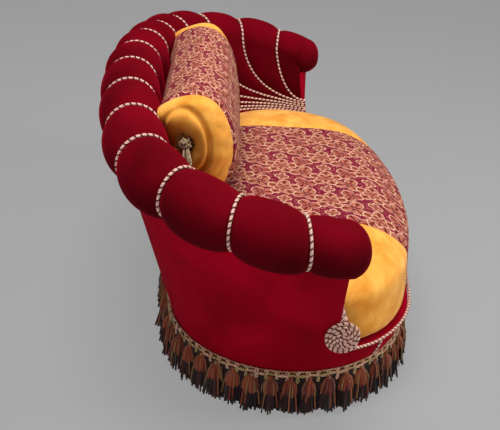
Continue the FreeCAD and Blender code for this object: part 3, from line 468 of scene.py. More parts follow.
def set_shader(shader, **sockets):
    """Sets or links the shader's sockets, with _ for a space in their names."""
    for key, value in sockets.items():
        socket = shader.inputs[key.replace("_", " ")]
        if isinstance(value, bpy.types.NodeSocket):
            shader.id_data.links.new(value, socket)
        else:
            socket.default_value = value


def velvet(name, deep, lit, rim, patch_size):
    """Cut velvet: a deep pile, dark from above and bright along its edges, with brushed patches, and painted
    shade that darkens marked pieces, most where they face down.
    """
    material, tree, shader = blank(name)
    place = add(tree, "TexCoord").outputs["Object"]
    brushed = add(tree, "TexNoise", {"Vector": place, "Scale": 1 / patch_size, "Detail": 3.0,
                                     "Roughness": 0.5, "Distortion": 0.4})
    tone = add(tree, "ValToRGB", {0: brushed}, stops=[(0.30, deep), (0.70, lit)])
    # The pile's tufts are about 1 mm; drawn at 2.5 mm so that they show.
    tuft_size = 0.0025
    tufts = add(tree, "TexNoise", {"Vector": place, "Scale": 1 / tuft_size, "Detail": 3.0, "Roughness": 0.7})
    speck = add(tree, "Math", {0: tufts, 1: 0.3, 2: 0.85}, operation="MULTIPLY_ADD")
    shade = add(tree, "Mix", {0: 1.0, 6: tone, 7: speck}, **MULTIPLY)
    # Painted shade: the colour of a marked piece is darkened by its mark, most where it faces down.
    painted_shade_mark = add(tree, "Attribute", attribute_name="against_pile")
    painted_shade_factor = add(tree, "Math", {0: painted_shade_mark.outputs["Fac"], 1: -0.78, 2: 1.0}, operation="MULTIPLY_ADD")
    shade = add(tree, "Mix", {0: 1.0, 6: shade.outputs[2], 7: painted_shade_factor}, **MULTIPLY)
    bump = add(tree, "Bump", {"Strength": 0.35, "Distance": 0.0012, "Height": tufts})
    set_shader(shader, Base_Color=shade.outputs[2], Normal=bump.outputs[0], Roughness=0.95,
               Specular_IOR_Level=0.04, Sheen_Weight=0.5, Sheen_Roughness=0.35, Sheen_Tint=rim)
    return material


# Double roses 109 mm across on a brick lattice, with blossoms of 48 mm and three-leaved sprigs between them.
# Each motif: offset in cells, phase, petals, reach in cells, sharpness, fill and half width of its rim.
LATTICE = (0.170, 0.150)
MOTIFS = (
    (0.25, 0.5, 0.6, 3, 0.27, 0.85, "petal", 0.011),
    (-0.25, 0.5, -0.9, 3, 0.24, 0.85, "blush", 0.011),
    (0.5, 0.0, 0.4, 4, 0.14, 0.5, "petal", 0.011),
    (0.0, 0.0, 0.3, 5, 0.32, 0.42, "petal", 0.011),
    (0.0, 0.0, 1.87, 5, 0.19, 0.40, "petal", 0.010),
)


def flower(tree, place, phase, petals, reach, sharp):
    """Distances from a repeated motif's edge, below 0 inside, and from its middle, and its petals' wave."""
    cells = add(tree, "Mapping", {"Vector": place, "Scale": (1 / LATTICE[0], 1 / LATTICE[1], 1)})
    parts = add(tree, "SeparateXYZ", {0: cells})
    row = add(tree, "Math", {0: parts.outputs[1]}, operation="FLOOR")
    odd = add(tree, "Math", {0: row, 1: 2.0}, operation="FLOORED_MODULO")
    shifted = add(tree, "Math", {0: odd, 1: 0.5, 2: parts}, operation="MULTIPLY_ADD")
    x = add(tree, "Math", {0: shifted}, operation="FRACT")
    y = add(tree, "Math", {0: parts.outputs[1]}, operation="FRACT")
    x = add(tree, "Math", {0: x, 1: 0.5}, operation="SUBTRACT")
    y = add(tree, "Math", {0: y, 1: 0.5}, operation="SUBTRACT")
    y = add(tree, "Math", {0: y, 1: LATTICE[1] / LATTICE[0]}, operation="MULTIPLY")
    spot = add(tree, "CombineXYZ", {0: x, 1: y})
    radius = add(tree, "VectorMath", {0: spot}, operation="LENGTH").outputs["Value"]
    angle = add(tree, "Math", {0: y, 1: x}, operation="ARCTAN2")
    half_turns = add(tree, "Math", {0: angle, 1: petals / 2, 2: phase}, operation="MULTIPLY_ADD")
    wave = add(tree, "Math", {0: half_turns}, operation="COSINE")
    wave = add(tree, "Math", {0: wave}, operation="ABSOLUTE")
    lobe = add(tree, "Math", {0: wave, 1: sharp}, operation="POWER")
    edge = add(tree, "Math", {0: lobe, 1: reach * 0.58, 2: reach * 0.42}, operation="MULTIPLY_ADD")
    gap = add(tree, "Math", {0: radius, 1: edge}, operation="SUBTRACT")
    return gap, radius, lobe


def floral_cloth(colours):
    """Woven floral: roses, small blossoms and leaf sprigs on a wine-red ground, matt, with a twill weave."""
    material, tree, shader = blank("woven_floral")
    ground, blush, outline = colours.ground, colours.blush, colours.outline
    place = add(tree, "UVMap", uv_map="cloth")
    # Outlines waver by up to 5 mm over about 38 mm.
    ripple = add(tree, "TexNoise", {"Vector": place, "Scale": 26.0, "Detail": 2.0}).outputs["Color"]
    ripple = add(tree, "VectorMath", {0: ripple, 1: (0.5, 0.5, 0.5)}, operation="SUBTRACT")
    ripple = add(tree, "VectorMath", {0: ripple, "Scale": 0.010}, operation="SCALE")
    drawn = add(tree, "VectorMath", {0: place, 1: ripple}, operation="ADD")
    # Stems wind about 14 mm apart, and seeds lie about 10 mm apart.
    stem = add(tree, "TexWave", {"Vector": drawn, "Scale": 22.0, "Distortion": 9.0, "Detail": 2.0,
                                 "Detail Scale": 1.6}, wave_type="RINGS")
    twig = add(tree, "ValToRGB", {0: stem.outputs["Fac"]},
               stops=[(0.0, ground), (0.62, ground), (0.74, blush), (0.86, ground)])
    seed = add(tree, "TexVoronoi", {"Vector": drawn, "Scale": 95.0})
    seeds = add(tree, "ValToRGB", {0: seed.outputs["Distance"]}, stops=[(0.24, WHITE), (0.30, BLACK)])
    base = add(tree, "Mix", {0: seeds, 6: twig, 7: colours.petal}, **MIX).outputs[2]
    for across, upward, phase, petals, reach, sharp, fill, line in MOTIFS:
        fill = getattr(colours, fill)
        offset = (across * LATTICE[0], upward * LATTICE[1], 0.0)
        spot = add(tree, "VectorMath", {0: drawn, 1: offset}, operation="ADD").outputs[0]
        gap, radius, lobe = flower(tree, spot, phase, petals, reach, sharp)
        vein = add(tree, "Math", {0: radius, 1: reach}, operation="DIVIDE")
        body = add(tree, "ValToRGB", {0: vein}, stops=[(0.0, outline), (0.12, ground), (0.22, blush),
                                                       (0.50, fill), (0.62, blush), (0.86, fill)])
        crease = add(tree, "ValToRGB", {0: lobe},
                     stops=[(0.30, ground), (0.52, WHITE), (0.955, WHITE), (0.985, blush)])
        body = add(tree, "Mix", {0: 0.9, 6: body, 7: crease}, **MULTIPLY).outputs[2]
        inside = add(tree, "Math", {0: gap, 1: 0.0}, operation="LESS_THAN")
        base = add(tree, "Mix", {0: inside, 6: base, 7: body}, **MIX).outputs[2]
        rim = add(tree, "Math", {0: gap, 1: 0.0, 2: line}, operation="COMPARE")
        base = add(tree, "Mix", {0: rim, 6: base, 7: outline}, **MIX).outputs[2]
    # Twill ribs are about 1 mm apart; drawn 5.6 mm apart so that the weave shows, with slubs of about 6 mm.
    twill = add(tree, "TexWave", {"Vector": place, "Scale": 79.58, "Distortion": 1.5, "Detail": 1.0},
                bands_direction="DIAGONAL")
    slub = add(tree, "TexNoise", {"Vector": place, "Scale": 160.0, "Detail": 3.0})
    grain = add(tree, "Math", {0: twill.outputs["Fac"], 1: slub}, operation="MULTIPLY")
    worn = add(tree, "Math", {0: grain, 1: 0.7, 2: 0.80}, operation="MULTIPLY_ADD")
    shade = add(tree, "Mix", {0: 1.0, 6: base, 7: worn}, **MULTIPLY)
    bump = add(tree, "Bump", {"Strength": 0.4, "Distance": 0.0008, "Height": grain})
    set_shader(shader, Base_Color=shade.outputs[2], Normal=bump.outputs[0], Roughness=0.85,
               Specular_IOR_Level=0.10, Sheen_Weight=0.10, Sheen_Roughness=0.45, Sheen_Tint=outline)
    return material


def twisted_cord(name, pale, dark):
    """Rayon cord: pale and dark strands laid together, each with a fine twist and a soft shine."""
    material, tree, shader = blank(name)
    around = add(tree, "UVMap", uv_map="cloth")
    parts = add(tree, "SeparateXYZ", {0: around})
    strand = add(tree, "ValToRGB", {0: parts}, stops=[(0.0, pale), (0.66, dark), (0.99, pale)])
    strand.color_ramp.interpolation = "CONSTANT"
    # Yarns about 6 mm wide, five of them round a cord.
    yarn = add(tree, "TexWave", {"Vector": around, "Scale": 3.0, "Distortion": 0.4},
               bands_direction="DIAGONAL")
    worn = add(tree, "Math", {0: yarn.outputs["Fac"], 1: 0.35, 2: 0.7}, operation="MULTIPLY_ADD")
    shade = add(tree, "Mix", {0: 1.0, 6: strand, 7: worn}, **MULTIPLY)
    set_shader(shader, Base_Color=shade.outputs[2], Roughness=0.55, Specular_IOR_Level=0.35, Sheen_Weight=0.3,
               Sheen_Roughness=0.4, Sheen_Tint=pale)
    return material


def yarn_hanks(name, *tones):
    """Wool and rayon yarn: each yarn has its own tone, darker inside the hank, dull with a slight sheen."""
    material, tree, shader = blank(name)
    tone = add(tree, "Attribute", attribute_name="yarn")
    stops = [(place, linear(code)) for place, code in tones]
    shades = add(tree, "ValToRGB", {0: tone.outputs["Fac"]}, stops=stops)
    place = add(tree, "TexCoord").outputs["Object"]
    # The plies are about 2.4 mm long.
    ply = add(tree, "TexNoise", {"Vector": place, "Scale": 420.0, "Detail": 2.0})
    worn = add(tree, "Math", {0: ply, 1: 0.9, 2: 0.5}, operation="MULTIPLY_ADD")
    shade = add(tree, "Mix", {0: 1.0, 6: shades, 7: worn}, **MULTIPLY)
    set_shader(shader, Base_Color=shade.outputs[2], Roughness=0.7, Specular_IOR_Level=0.3, Sheen_Weight=0.25,
               Sheen_Roughness=0.4)
    return material


def plain_finish(name, first, second, grain, roughness, stretch=(1, 1, 1), metallic=0.0):
    """A finish of two close tones mixed by a grain, such as sawn wood, jute or zinc."""
    material, tree, shader = blank(name)
    place = add(tree, "TexCoord").outputs["Object"]
    drawn = add(tree, "Mapping", {"Vector": place, "Scale": stretch})
    fibre = add(tree, "TexNoise", {"Vector": drawn, "Scale": 1 / grain, "Detail": 4.0, "Roughness": 0.6})
    tone = add(tree, "ValToRGB", {0: fibre}, stops=[(0.35, linear(first)), (0.65, linear(second))])
    bump = add(tree, "Bump", {"Strength": 0.25, "Distance": 0.0005, "Height": fibre})
    set_shader(shader, Base_Color=tone.outputs[0], Normal=bump.outputs[0], Roughness=roughness,
               Metallic=metallic)
    return material


def make_materials(colours):
    red = (colours.velvet_deep, colours.velvet_lit, colours.velvet_rim)
    gold = (colours.gold_deep, colours.gold_lit, colours.gold_rim)
    materials["red"] = velvet("red_cut_velvet", *red, patch_size=0.22)
    materials["gold"] = velvet("gold_cut_velvet", *gold, patch_size=0.07)
    materials["floral"] = floral_cloth(colours)
    materials["cord"] = twisted_cord("twisted_cord", colours.cord_pale, colours.cord_dark)
    materials["fringe"] = yarn_hanks("tassel_yarn", (0.0, "140505"), (0.28, "2E0C0C"), (0.42, "4C160E"),
                                     (0.60, "822D14"), (0.80, "8C4E2A"), (1.0, "7C643C"))
    materials["braid"] = yarn_hanks("scrolled_braid", (0.0, "4A160E"), (0.40, "A8704C"), (0.72, "D0A088"),
                                    (1.0, "9A8450"))
    materials["tuft"] = yarn_hanks("tuft_yarn", (0.0, "2A180E"), (0.45, "5A3A1C"), (0.6, "C8A87C"),
                                   (1.0, "F0E0C4"))
    materials["beech"] = plain_finish("sawn_beech", "8A6440", "B48A5E", 0.012, 0.7, (0.15, 1, 1))
    materials["dark_wood"] = plain_finish("stained_beech", "2C160C", "4A2816", 0.010, 0.45, (1, 1, 0.12))
    materials["jute"] = plain_finish("jute_webbing", "6E5836", "8E7850", 0.003, 0.9)
    materials["dust"] = plain_finish("black_dust_cloth", "141414", "242424", 0.003, 0.95)
    materials["zinc"] = plain_finish("zinc_plated_steel", "8C8C8C", "B4B4B0", 0.004, 0.4, metallic=1.0)
    materials["glide"] = plain_finish("moulded_nylon", "141414", "202020", 0.002, 0.6)


# Flutes.
FLUTE_FRONT = 20
BACK_PLACES = np.array([1.0, 0.33, -0.33, -1.0])
FLUTE_RING = FLUTE_FRONT + len(BACK_PLACES)
FLUTE_BACK = 0.0036
ROLL_ROWS = 30
WALL_ROWS = 56
FLUTE_ROWS = ROLL_ROWS + WALL_ROWS
TUCK_TURN = 30
CROWN_POWER = 2.1
SHOULDER = 0.4
SHOULDER_DROP = 0.14


def flute_seams(index, sweeps):
    """Shares and drops of the seams on both sides of a flute."""
    share, drop = seam_inside(index, sweeps)
    if index == HALF_COUNT:
        return share, drop, 1 - share, drop
    return share, drop, *seam_inside(index + 1, sweeps)


def even_sweeps(index):
    """Sweep angles that space a flute's rows evenly down its middle."""
    sweeps = np.linspace(0, 43.0 if index == HALF_COUNT else 86.0, 600)
    first_share, first_drop, second_share, second_drop = flute_seams(index, sweeps)
    runs = path_runs(Station((first_share + second_share) / 2).inside((first_drop + second_drop) / 2))
    return np.interp(np.linspace(0, runs[-1], WALL_ROWS + 1)[1:], runs, sweeps)


def crown_profile(across, front_flute):
    """Height over a flute, as a share of its crown; across runs from -1 to 1."""
    if not front_flute:
        return np.clip(1 - np.abs(across) ** CROWN_POWER, 0, 1) ** (1 / CROWN_POWER)
    way = (across + 1) / 2
    fall = np.clip(1 - ramp(way, SHOULDER, 1) ** CROWN_POWER, 0, 1) ** (1 / CROWN_POWER)
    return fall * (1 - SHOULDER_DROP * ramp(way, SHOULDER, 0) ** 2)


def flute(index, sizes):
    """One padded roll, from under the outside of the rolled edge, over it and down to the foot of the arm."""
    obj, u, v = grid("flute_%02d" % (index + 1), FLUTE_RING, FLUTE_ROWS)
    ring = np.rint(u * FLUTE_RING).astype(int) % FLUTE_RING
    row = np.rint(v * FLUTE_ROWS).astype(int)
    on_back = ring > FLUTE_FRONT
    across = np.where(on_back, 0.0, -1 + 2 * ring / FLUTE_FRONT)
    across[on_back] = BACK_PLACES[ring[on_back] - FLUTE_FRONT]
    # Sine spacing puts more rows of points near the seams.
    across = np.sin(across * math.pi / 2)
    sweeps = np.concatenate([np.zeros(ROLL_ROWS + 1), even_sweeps(index)])
    left_share, left_drop, right_share, right_drop = flute_seams(index, sweeps)
    row_turn = np.concatenate([np.linspace(ROLL_OUTSIDE, ROLL_INSIDE, ROLL_ROWS + 1),
                               np.full(WALL_ROWS, ROLL_INSIDE)])

    def surface(rows, places):
        way = (places + 1) / 2
        share = between(left_share[rows], right_share[rows], way)
        drop = between(left_drop[rows], right_drop[rows], way)
        here = Station(share)
        on_roll = (rows <= ROLL_ROWS)[:, None]
        point = np.where(on_roll, here.on_roll(row_turn[rows], ROLL_RADIUS), here.inside(drop))
        normal = np.where(on_roll, here.roll_normal(row_turn[rows]), wall_normal(share, drop))
        return point, normal

    every = np.arange(FLUTE_ROWS + 1)
    left, centre, right = [surface(every, np.full(len(every), place))[0] for place in (-1.0, 0.0, 1.0)]
    heading = unit(np.gradient(centre, axis=0))
    skew = np.sum((right - left) * heading, axis=1)
    width = np.sqrt(np.maximum(np.sum((right - left) ** 2, axis=1) - skew ** 2, 1e-8))
    crown = sizes.flute_crown * width * rounded(ramp(row_turn, ROLL_OUTSIDE, ROLL_OUTSIDE + TUCK_TURN))
    point, normal = surface(row, across)
    puff = crown[row] * crown_profile(across, index == 0)
    if index > 0:
        puff = puff * (1 + 0.05 * lumps(point + index, 0.055))
    shape(obj, point + along(normal, np.where(on_back, -FLUTE_BACK, puff - sizes.flute_edge)))
    weld(obj, fill=True)
    if index > 0:
        subdivide(obj)
    return obj


class SOFA_OT_flutes(bpy.types.Operator):
    """Makes the fifteen padded flutes of the back and arms"""
    bl_idname = "sofa.flutes"
    bl_label = "Flutes"

    def execute(self, context):
        for index in range(HALF_COUNT + 1):
            piece = flute(index, context.scene.sofa_sizes)
            # Marks painted shade on the flute, darkest where it faces down.
            mark_painted_shade(piece)
            nodes = ["channel_%02d" % (index + 1)]
            twin = FLUTE_COUNT - index
            if index < HALF_COUNT:
                dress(mirrored(piece, "flute_%02d" % twin), "red", ["channel_%02d" % twin])
            else:
                nodes.append("roll_core")
            dress(piece, "red", nodes)
        return {"FINISHED"}


# Rolled ends, facings, outside covers and border.
ROLL_END_RISE = 0.058
ROLL_END_TUCK = 60
FACING_CROWN = 0.008
FACING_NARROW = 0.6
COVER_CROWN = 0.0015
COVER_LUMPS = 0.0012
BORDER_HIDDEN = 0.016
BORDER_TUCK = 0.010
BORDER_TURN = 0.7
BORDER_INWARD = 0.052


def roll_end(sizes):
    """Rounded end of the rolled edge, a dome carried on from the front flute."""
    obj, u, v = grid("roll_end_left", 96, 28)
    turn = 360 * u
    signed = np.where(turn > 270, turn - 360, turn)
    tuck = rounded(np.minimum(ramp(signed, ROLL_OUTSIDE, ROLL_OUTSIDE + TUCK_TURN),
                              ramp(signed, ROLL_INSIDE + ROLL_END_TUCK, ROLL_INSIDE)))
    edge = sizes.flute_crown * CREST_HALF_RUN * 2 * FRONT_SHARE * (1 - SHOULDER_DROP)
    bend = np.radians(90 * v)
    radius = (ROLL_RADIUS + edge * tuck - sizes.flute_edge) * np.cos(bend) ** 0.85
    ahead = forwards(np.cross(ARM_FRONT.normal, UP))
    shape(obj, ARM_FRONT.on_roll(turn, radius) + along(ahead, ROLL_END_RISE * np.sin(bend) ** 1.05))
    weld(obj, fill=True)
    return obj


def facing():
    """Padded strip that closes an arm's front, from the border to under the roll end."""
    obj, u, v = grid("arm_facing_left", 10, 40)
    height = between(BORDER_TOP - 0.01, ROLL_ARM_HEIGHT - ROLL_RADIUS + 0.02, v)
    outer = ARM_FRONT.outer(height)
    # Below the seat line the strip narrows towards its foot.
    wide = ARM_FRONT.inner(SEAT_LINE) - ARM_FRONT.outer(SEAT_LINE)
    narrow = outer + along(wide, 1 - FACING_NARROW * ramp(height, SEAT_LINE, BORDER_TOP))
    inner = np.where((height < SEAT_LINE)[:, None], narrow, ARM_FRONT.inner(height))
    inner[:, 2] = height
    ahead = forwards(np.cross(unit((outer - inner) * LEVEL), UP))
    puff = 0.001 + FACING_CROWN * np.clip(1 - np.abs(2 * u - 1) ** 2.6, 0, 1) ** 0.5
    shape(obj, between(inner, outer, u[:, None]) + along(ahead, puff))
    thicken(obj, 0.002)
    subdivide(obj)
    return obj


def outside_cover(name, first, last, columns):
    """Smooth cover from the braid up to the roll, pulled tight at its seams."""
    obj, u, v = grid(name, columns, 30)
    here = Station(between(first, last, u))
    points = between(here.base, here.under, v[:, None])
    stand = COVER_CROWN * ramp(np.minimum(u, 1 - u), 0, 0.03)
    stand = stand + COVER_LUMPS * lumps(points, 0.09) * np.sin(np.pi * v)
    shape(obj, points + along(here.out, stand))
    thicken(obj, 0.003)
    return obj


def border():
    """Red band under the bowed seat front, turned in over the rail, its ends tucked behind the arms."""
    obj, u, v = grid("seat_border", 300, 14)
    start = BASE_HALF_RUN - BORDER_HIDDEN
    stop = BASE.whole - start
    run = between(start, stop, u)
    point, normal = BASE.at(run)
    tucked = ramp(np.minimum(run - start, stop - run), 2 * BORDER_TUCK, BORDER_TUCK)
    rise = ramp(v, 0, BORDER_TURN)
    offset = 0.003 * np.sin(np.pi * rise) ** 0.6 + BORDER_LEAN * rise - 0.006 * tucked
    offset = offset - BORDER_INWARD * ramp(v, BORDER_TURN, 1)
    height = between(BRAID_TOP - 0.004, BORDER_TOP + 0.0005, rise)
    shape(obj, point + along(normal, offset) + along(UP, height))
    thicken(obj, 0.002)
    subdivide(obj)
    return obj


class SOFA_OT_covers(bpy.types.Operator):
    """Makes the outside covers, arm facings, rolled ends and the border under the seat"""
    bl_idname = "sofa.covers"
    bl_label = "Covers"

    def execute(self, context):
        end = roll_end(context.scene.sofa_sizes)
        # Marks painted shade on the rolled end, darkest where it faces down.
        mark_painted_shade(end)
        self.pair(end, "roll_end_right", "roll_end_caps", 0.9)
        self.pair(facing(), "arm_facing_right", "arm_facings", 0.6)
        for side, first, last, columns in (("left", 0.0, SPLIT, 60), ("back", SPLIT, 1 - SPLIT, 90),
                                           ("right", 1 - SPLIT, 1.0, 60)):
            cover = outside_cover("cover_" + side, first, last, columns)
            dress(cover, "red", ["outside_cover_" + side])
        dress(border(), "red", ["front_border"])
        return {"FINISHED"}

    def pair(self, piece, twin, node, fill):
        """Dresses a piece of the left arm and its twin on the right."""
        other = mirrored(piece, twin)
        dress(piece, "red", [node])
        dress(other, "red")


# Cords.
CORD_SIDES = 12
SEAM_PROUD = 0.0110
SEAM_SUNK = 0.0012
SEAM_START = -50
SEAM_EDGE_BEND = 0.0145
SEAM_FAN = 0.003
BORDER_CORD_INSET = 0.012
BORDER_CORD_BLEND = 0.12
BORDER_CORD_END = 0.046
DROP_COUNT = 9
ROSETTE_HEIGHT = 0.320
ROSETTE_FORWARD = 0.013
ROSETTE_REACH = 0.0386
ROSETTE_TURNS = 4.9
ROSETTE_PITCH = 1.94
ROSETTE_EYE = 0.0030
ROSETTE_EDGE = 0.052
ROSETTE_DOME = 0.008


def even_path(points, step):
    """Points evenly spaced along a line of points, and its length."""
    runs = path_runs(points)
    goals = np.linspace(0, runs[-1], max(int(runs[-1] / step), 4) + 1)
    return np.stack([np.interp(goals, runs, points[:, i]) for i in range(3)], -1), runs[-1]


def laid_cord(name, points, radius, twist):
    """A cord of three laid strands along a line: its section has three lobes and turns as it goes."""
    path, total = even_path(points, twist / CORD_SIDES)
    rows = len(path) - 1
    obj, u, v = grid(name, CORD_SIDES, rows)
    heading = unit(np.gradient(path, axis=0))
    across = np.cross(heading[0], UP)
    if np.linalg.norm(across) < 0.1:
        across = np.cross(heading[0], np.array([1.0, 0.0, 0.0]))
    side = np.zeros_like(path)
    for i, ahead in enumerate(heading):
        across = unit(across - ahead * np.dot(across, ahead))
        side[i] = across
    rise = np.cross(heading, side)
    row = np.rint(v * rows).astype(int)
    strand = 2 * math.pi * np.rint(u * CORD_SIDES) / CORD_SIDES
    angle = strand + 2 * math.pi * row * (total / rows) / twist
    lobe = radius * (0.84 + 0.16 * np.cos(3 * strand))
    points = path[row] + along(side[row], lobe * np.cos(angle)) + along(rise[row], lobe * np.sin(angle))
    shape(obj, points)
    # The cord's map goes round its strands one way and counts turns of the twist the other.
    obj.data.uv_layers.active.name = "cloth"
    cloth_map(obj, u, v * (total / twist))
    weld(obj, fill=True)
    return obj


def rosette_place(sizes):
    """Middle of the left rosette, the way it faces and the way it is wound off."""
    axis = unit(ARM_FRONT.out + ARM_FRONT.base_normal)
    sideways = np.cross(UP, axis)
    centre = ARM_FRONT.outer(ROSETTE_HEIGHT) + sideways * ROSETTE_FORWARD
    return centre + axis * (COVER_SLOPE * ROSETTE_REACH + sizes.rosette_cord), axis, sideways


def seam_line(index, sizes):
    """Route of a seam's cord: over the roll, down inside and round the arm's front edge to the rosette."""
    turns = np.linspace(SEAM_START, ROLL_INSIDE, 60)
    proud = between(SEAM_SUNK, SEAM_PROUD, ramp(turns, SEAM_START, SEAM_START + 40))
    over = Station(np.full(60, SEAM_SHARES[index])).on_roll(turns, ROLL_RADIUS + proud)
    sweeps = np.concatenate([np.linspace(1, 38, 30), np.linspace(39, 51, 40), np.linspace(52, 88.4, 40)])
    share, drop = seam_inside(index, sweeps)
    lift = between(SEAM_PROUD, SEAM_SUNK, ramp(sweeps, 0, 50))
    down = Station(share).inside(drop) + along(wall_normal(share, drop), lift)
    edge = ARM_FRONT.inside(drop[-1])
    level = unit((ARM_FRONT.outer(edge[2]) - edge) * LEVEL)
    bend = edge + forwards(np.cross(level, UP)) * SEAM_EDGE_BEND
    turn = bend + level * 0.020 - UP * 0.015
    centre, axis, sideways = rosette_place(sizes)
    tip = centre + UP * 0.040 + sideways * (SEAM_FAN * (index - HALF_COUNT / 2)) - axis * 0.008
    way = np.linspace(0, 1, 16)[:, None]
    across = between(between(bend, turn, way), between(turn, tip, way), way)
    return np.concatenate([over, down, across])


class SOFA_OT_cords(bpy.types.Operator):
    """Lays the twisted cords along the seams, the border and in the rosettes"""
    bl_idname = "sofa.cords"
    bl_label = "Cords"

    def execute(self, context):
        sizes = context.scene.sofa_sizes
        left = []
        for index in range(1, HALF_COUNT + 1):
            line = seam_line(index, sizes)
            left.append(laid_cord("seam_cord_%d" % index, line, sizes.cord_radius, sizes.cord_twist))
        whole = join("seam_cords_left_laid", left)
        twin = mirrored(whole, "seam_cords_right_laid")
        dress(whole, "cord", ["seam_cords_left"])
        dress(twin, "cord", ["seam_cords_right"])
        self.border_cords(sizes)
        self.rosettes(sizes)
        return {"FINISHED"}

    def border_cords(self, sizes):
        """The cord along the border's top, its ends led up to the rosettes, and the short upright ones."""
        first = BASE_HALF_RUN
        last = BASE.whole - BASE_HALF_RUN
        inset = BORDER_CORD_INSET
        runs = np.linspace(first + inset, last - inset, 400)
        point, normal = BASE.at(runs)
        line = point + normal * (BORDER_LEAN + sizes.cord_radius * 0.8) + UP * (BORDER_TOP - 0.001)
        centre = rosette_place(sizes)[0]
        for near, spot in ((runs - first, centre * OTHER_SIDE), (last - runs, centre)):
            way = ease(ramp(near, inset + BORDER_CORD_BLEND, inset))
            line = line + along(spot - UP * BORDER_CORD_END - line, way)
        long_cord = laid_cord("border_cord_laid", line, sizes.cord_radius, sizes.cord_twist)
        dress(long_cord, "cord", ["border_cord"])
        drops = []
        heights = np.linspace(BRAID_TOP - 0.003, BORDER_TOP - 0.005, 24)
        way = ramp(heights, BRAID_TOP, BORDER_TOP)
        stand_out = sizes.cord_radius * 0.6 + BORDER_LEAN * way + 0.003 * np.sin(np.pi * way)
        for i in range(DROP_COUNT):
            spot, out = BASE.at(between(first, last, (i + 1) / (DROP_COUNT + 1)))
            line = spot + along(out, stand_out) + along(UP, heights)
            drops.append(laid_cord("drop_%d" % i, line, sizes.cord_radius * 0.85, sizes.cord_twist))
        dress(join("border_drops_laid", drops), "cord", ["border_drop_cords"])

    def rosettes(self, sizes):
        """One cord wound flat and slightly domed on the corner of each arm's foot."""
        centre, axis, sideways = rosette_place(sizes)
        angle = np.linspace(0.35, ROSETTE_TURNS * 2 * math.pi, 460)
        radius = ROSETTE_EYE + ROSETTE_PITCH * sizes.rosette_cord * angle / (2 * math.pi)
        dome = ROSETTE_DOME * np.sqrt(np.clip(1 - (radius / ROSETTE_EDGE) ** 2, 0, 1))
        line = centre + along(sideways, radius * np.cos(angle)) + along(UP, radius * np.sin(angle))
        left = laid_cord("rosette_left", line + along(axis, dome), sizes.rosette_cord, sizes.cord_twist)
        right = mirrored(left, "rosette_right")
        dress(left, "cord", ["rosettes"])
        dress(right, "cord")


# Seat and cushion.
CLOTH = {"quality": 4, "mass": 0.3, "tension_stiffness": 15, "compression_stiffness": 15,
         "bending_stiffness": 0.5, "use_pressure": True, "uniform_pressure_force": 4}
CLOTH_STEPS = 20


def plump(obj, voxel, swell, rounding):
    """Fills a closed cover from inside as cloth under pressure, each point held within swell of its start."""
    modify(obj, "REMESH", mode="VOXEL", voxel_size=voxel)
    start = read(obj, "co")
    pick(obj)
    cloth = obj.modifiers.new("cloth", "CLOTH")
    for key, value in CLOTH.items():
        setattr(cloth.settings, key, value)
    cloth.settings.effector_weights.gravity = 0
    cloth.collision_settings.use_collision = False
    for step in range(1, CLOTH_STEPS + 1):
        bpy.context.scene.frame_set(step)
    bpy.ops.object.modifier_apply(modifier=cloth.name)
    bpy.context.scene.frame_set(1)
    moved = read(obj, "co") - start
    reach = np.linalg.norm(moved, axis=1, keepdims=True)
    shape(obj, start + moved * np.minimum(1, swell / np.maximum(reach, 1e-9)))
    modify(obj, "SMOOTH", factor=0.5, iterations=rounding)
    subdivide(obj)


def sew(obj, seam, depth, wide):
    """Draws the cover in along two seams across X."""
    points = read(obj, "co")
    pull = np.exp(-((np.abs(points[:, 0]) - seam) / wide) ** 2)
    shape(obj, points - along(read(obj, "normal"), depth * pull))


def cut_panel(obj, name, low, high):
    """The stretch of a piece between two planes across X, closed at its cuts."""
    panel = copied(obj, name)
    for place, direction in ((low, -1), (high, 1)):
        if place is None:
            continue
        pick(panel)
        bpy.ops.object.mode_set(mode="EDIT")
        bpy.ops.mesh.select_all(action="SELECT")
        bpy.ops.mesh.bisect(plane_co=(place, 0, 0), plane_no=(direction, 0, 0), use_fill=True,
                            clear_outer=True)
        bpy.ops.object.mode_set(mode="OBJECT")
    return panel


def cut_panels(whole, kind, seam, lay, fill, body, *nodes):
    """Cuts a filled form at its seams into a floral middle and gold ends, each laid and dressed."""
    panels = (("floral", "_floral", -seam, seam), ("gold", "_gold_left", None, -seam),
              ("gold", "_gold_right", seam, None))
    for (finish, ending, low, high), stands_for in zip(panels, nodes):
        panel = cut_panel(whole, kind + ending, low, high)
        lay(panel)
        dress(panel, finish, stands_for, body)
    bpy.data.objects.remove(whole)


SEAT_SEAM = 0.382
SEAT_WIDE = 0.385
SEAT_LOW = 0.2252
SEAT_DRAW = 0.034
SEAT_CROWN = 0.090
CROWN_RUN = 0.300
CROWN_INSET = 0.29
SEAT_GAP = 0.006
FOOT_FULLER = 0.4
FOOT_IN_FRONT = (-0.20, -0.29)
FILLED_BEHIND = (-0.17, -0.09)
SIDE_ROWS = 14
CROWN_ROWS = 24
CLOSING_ROWS = 8


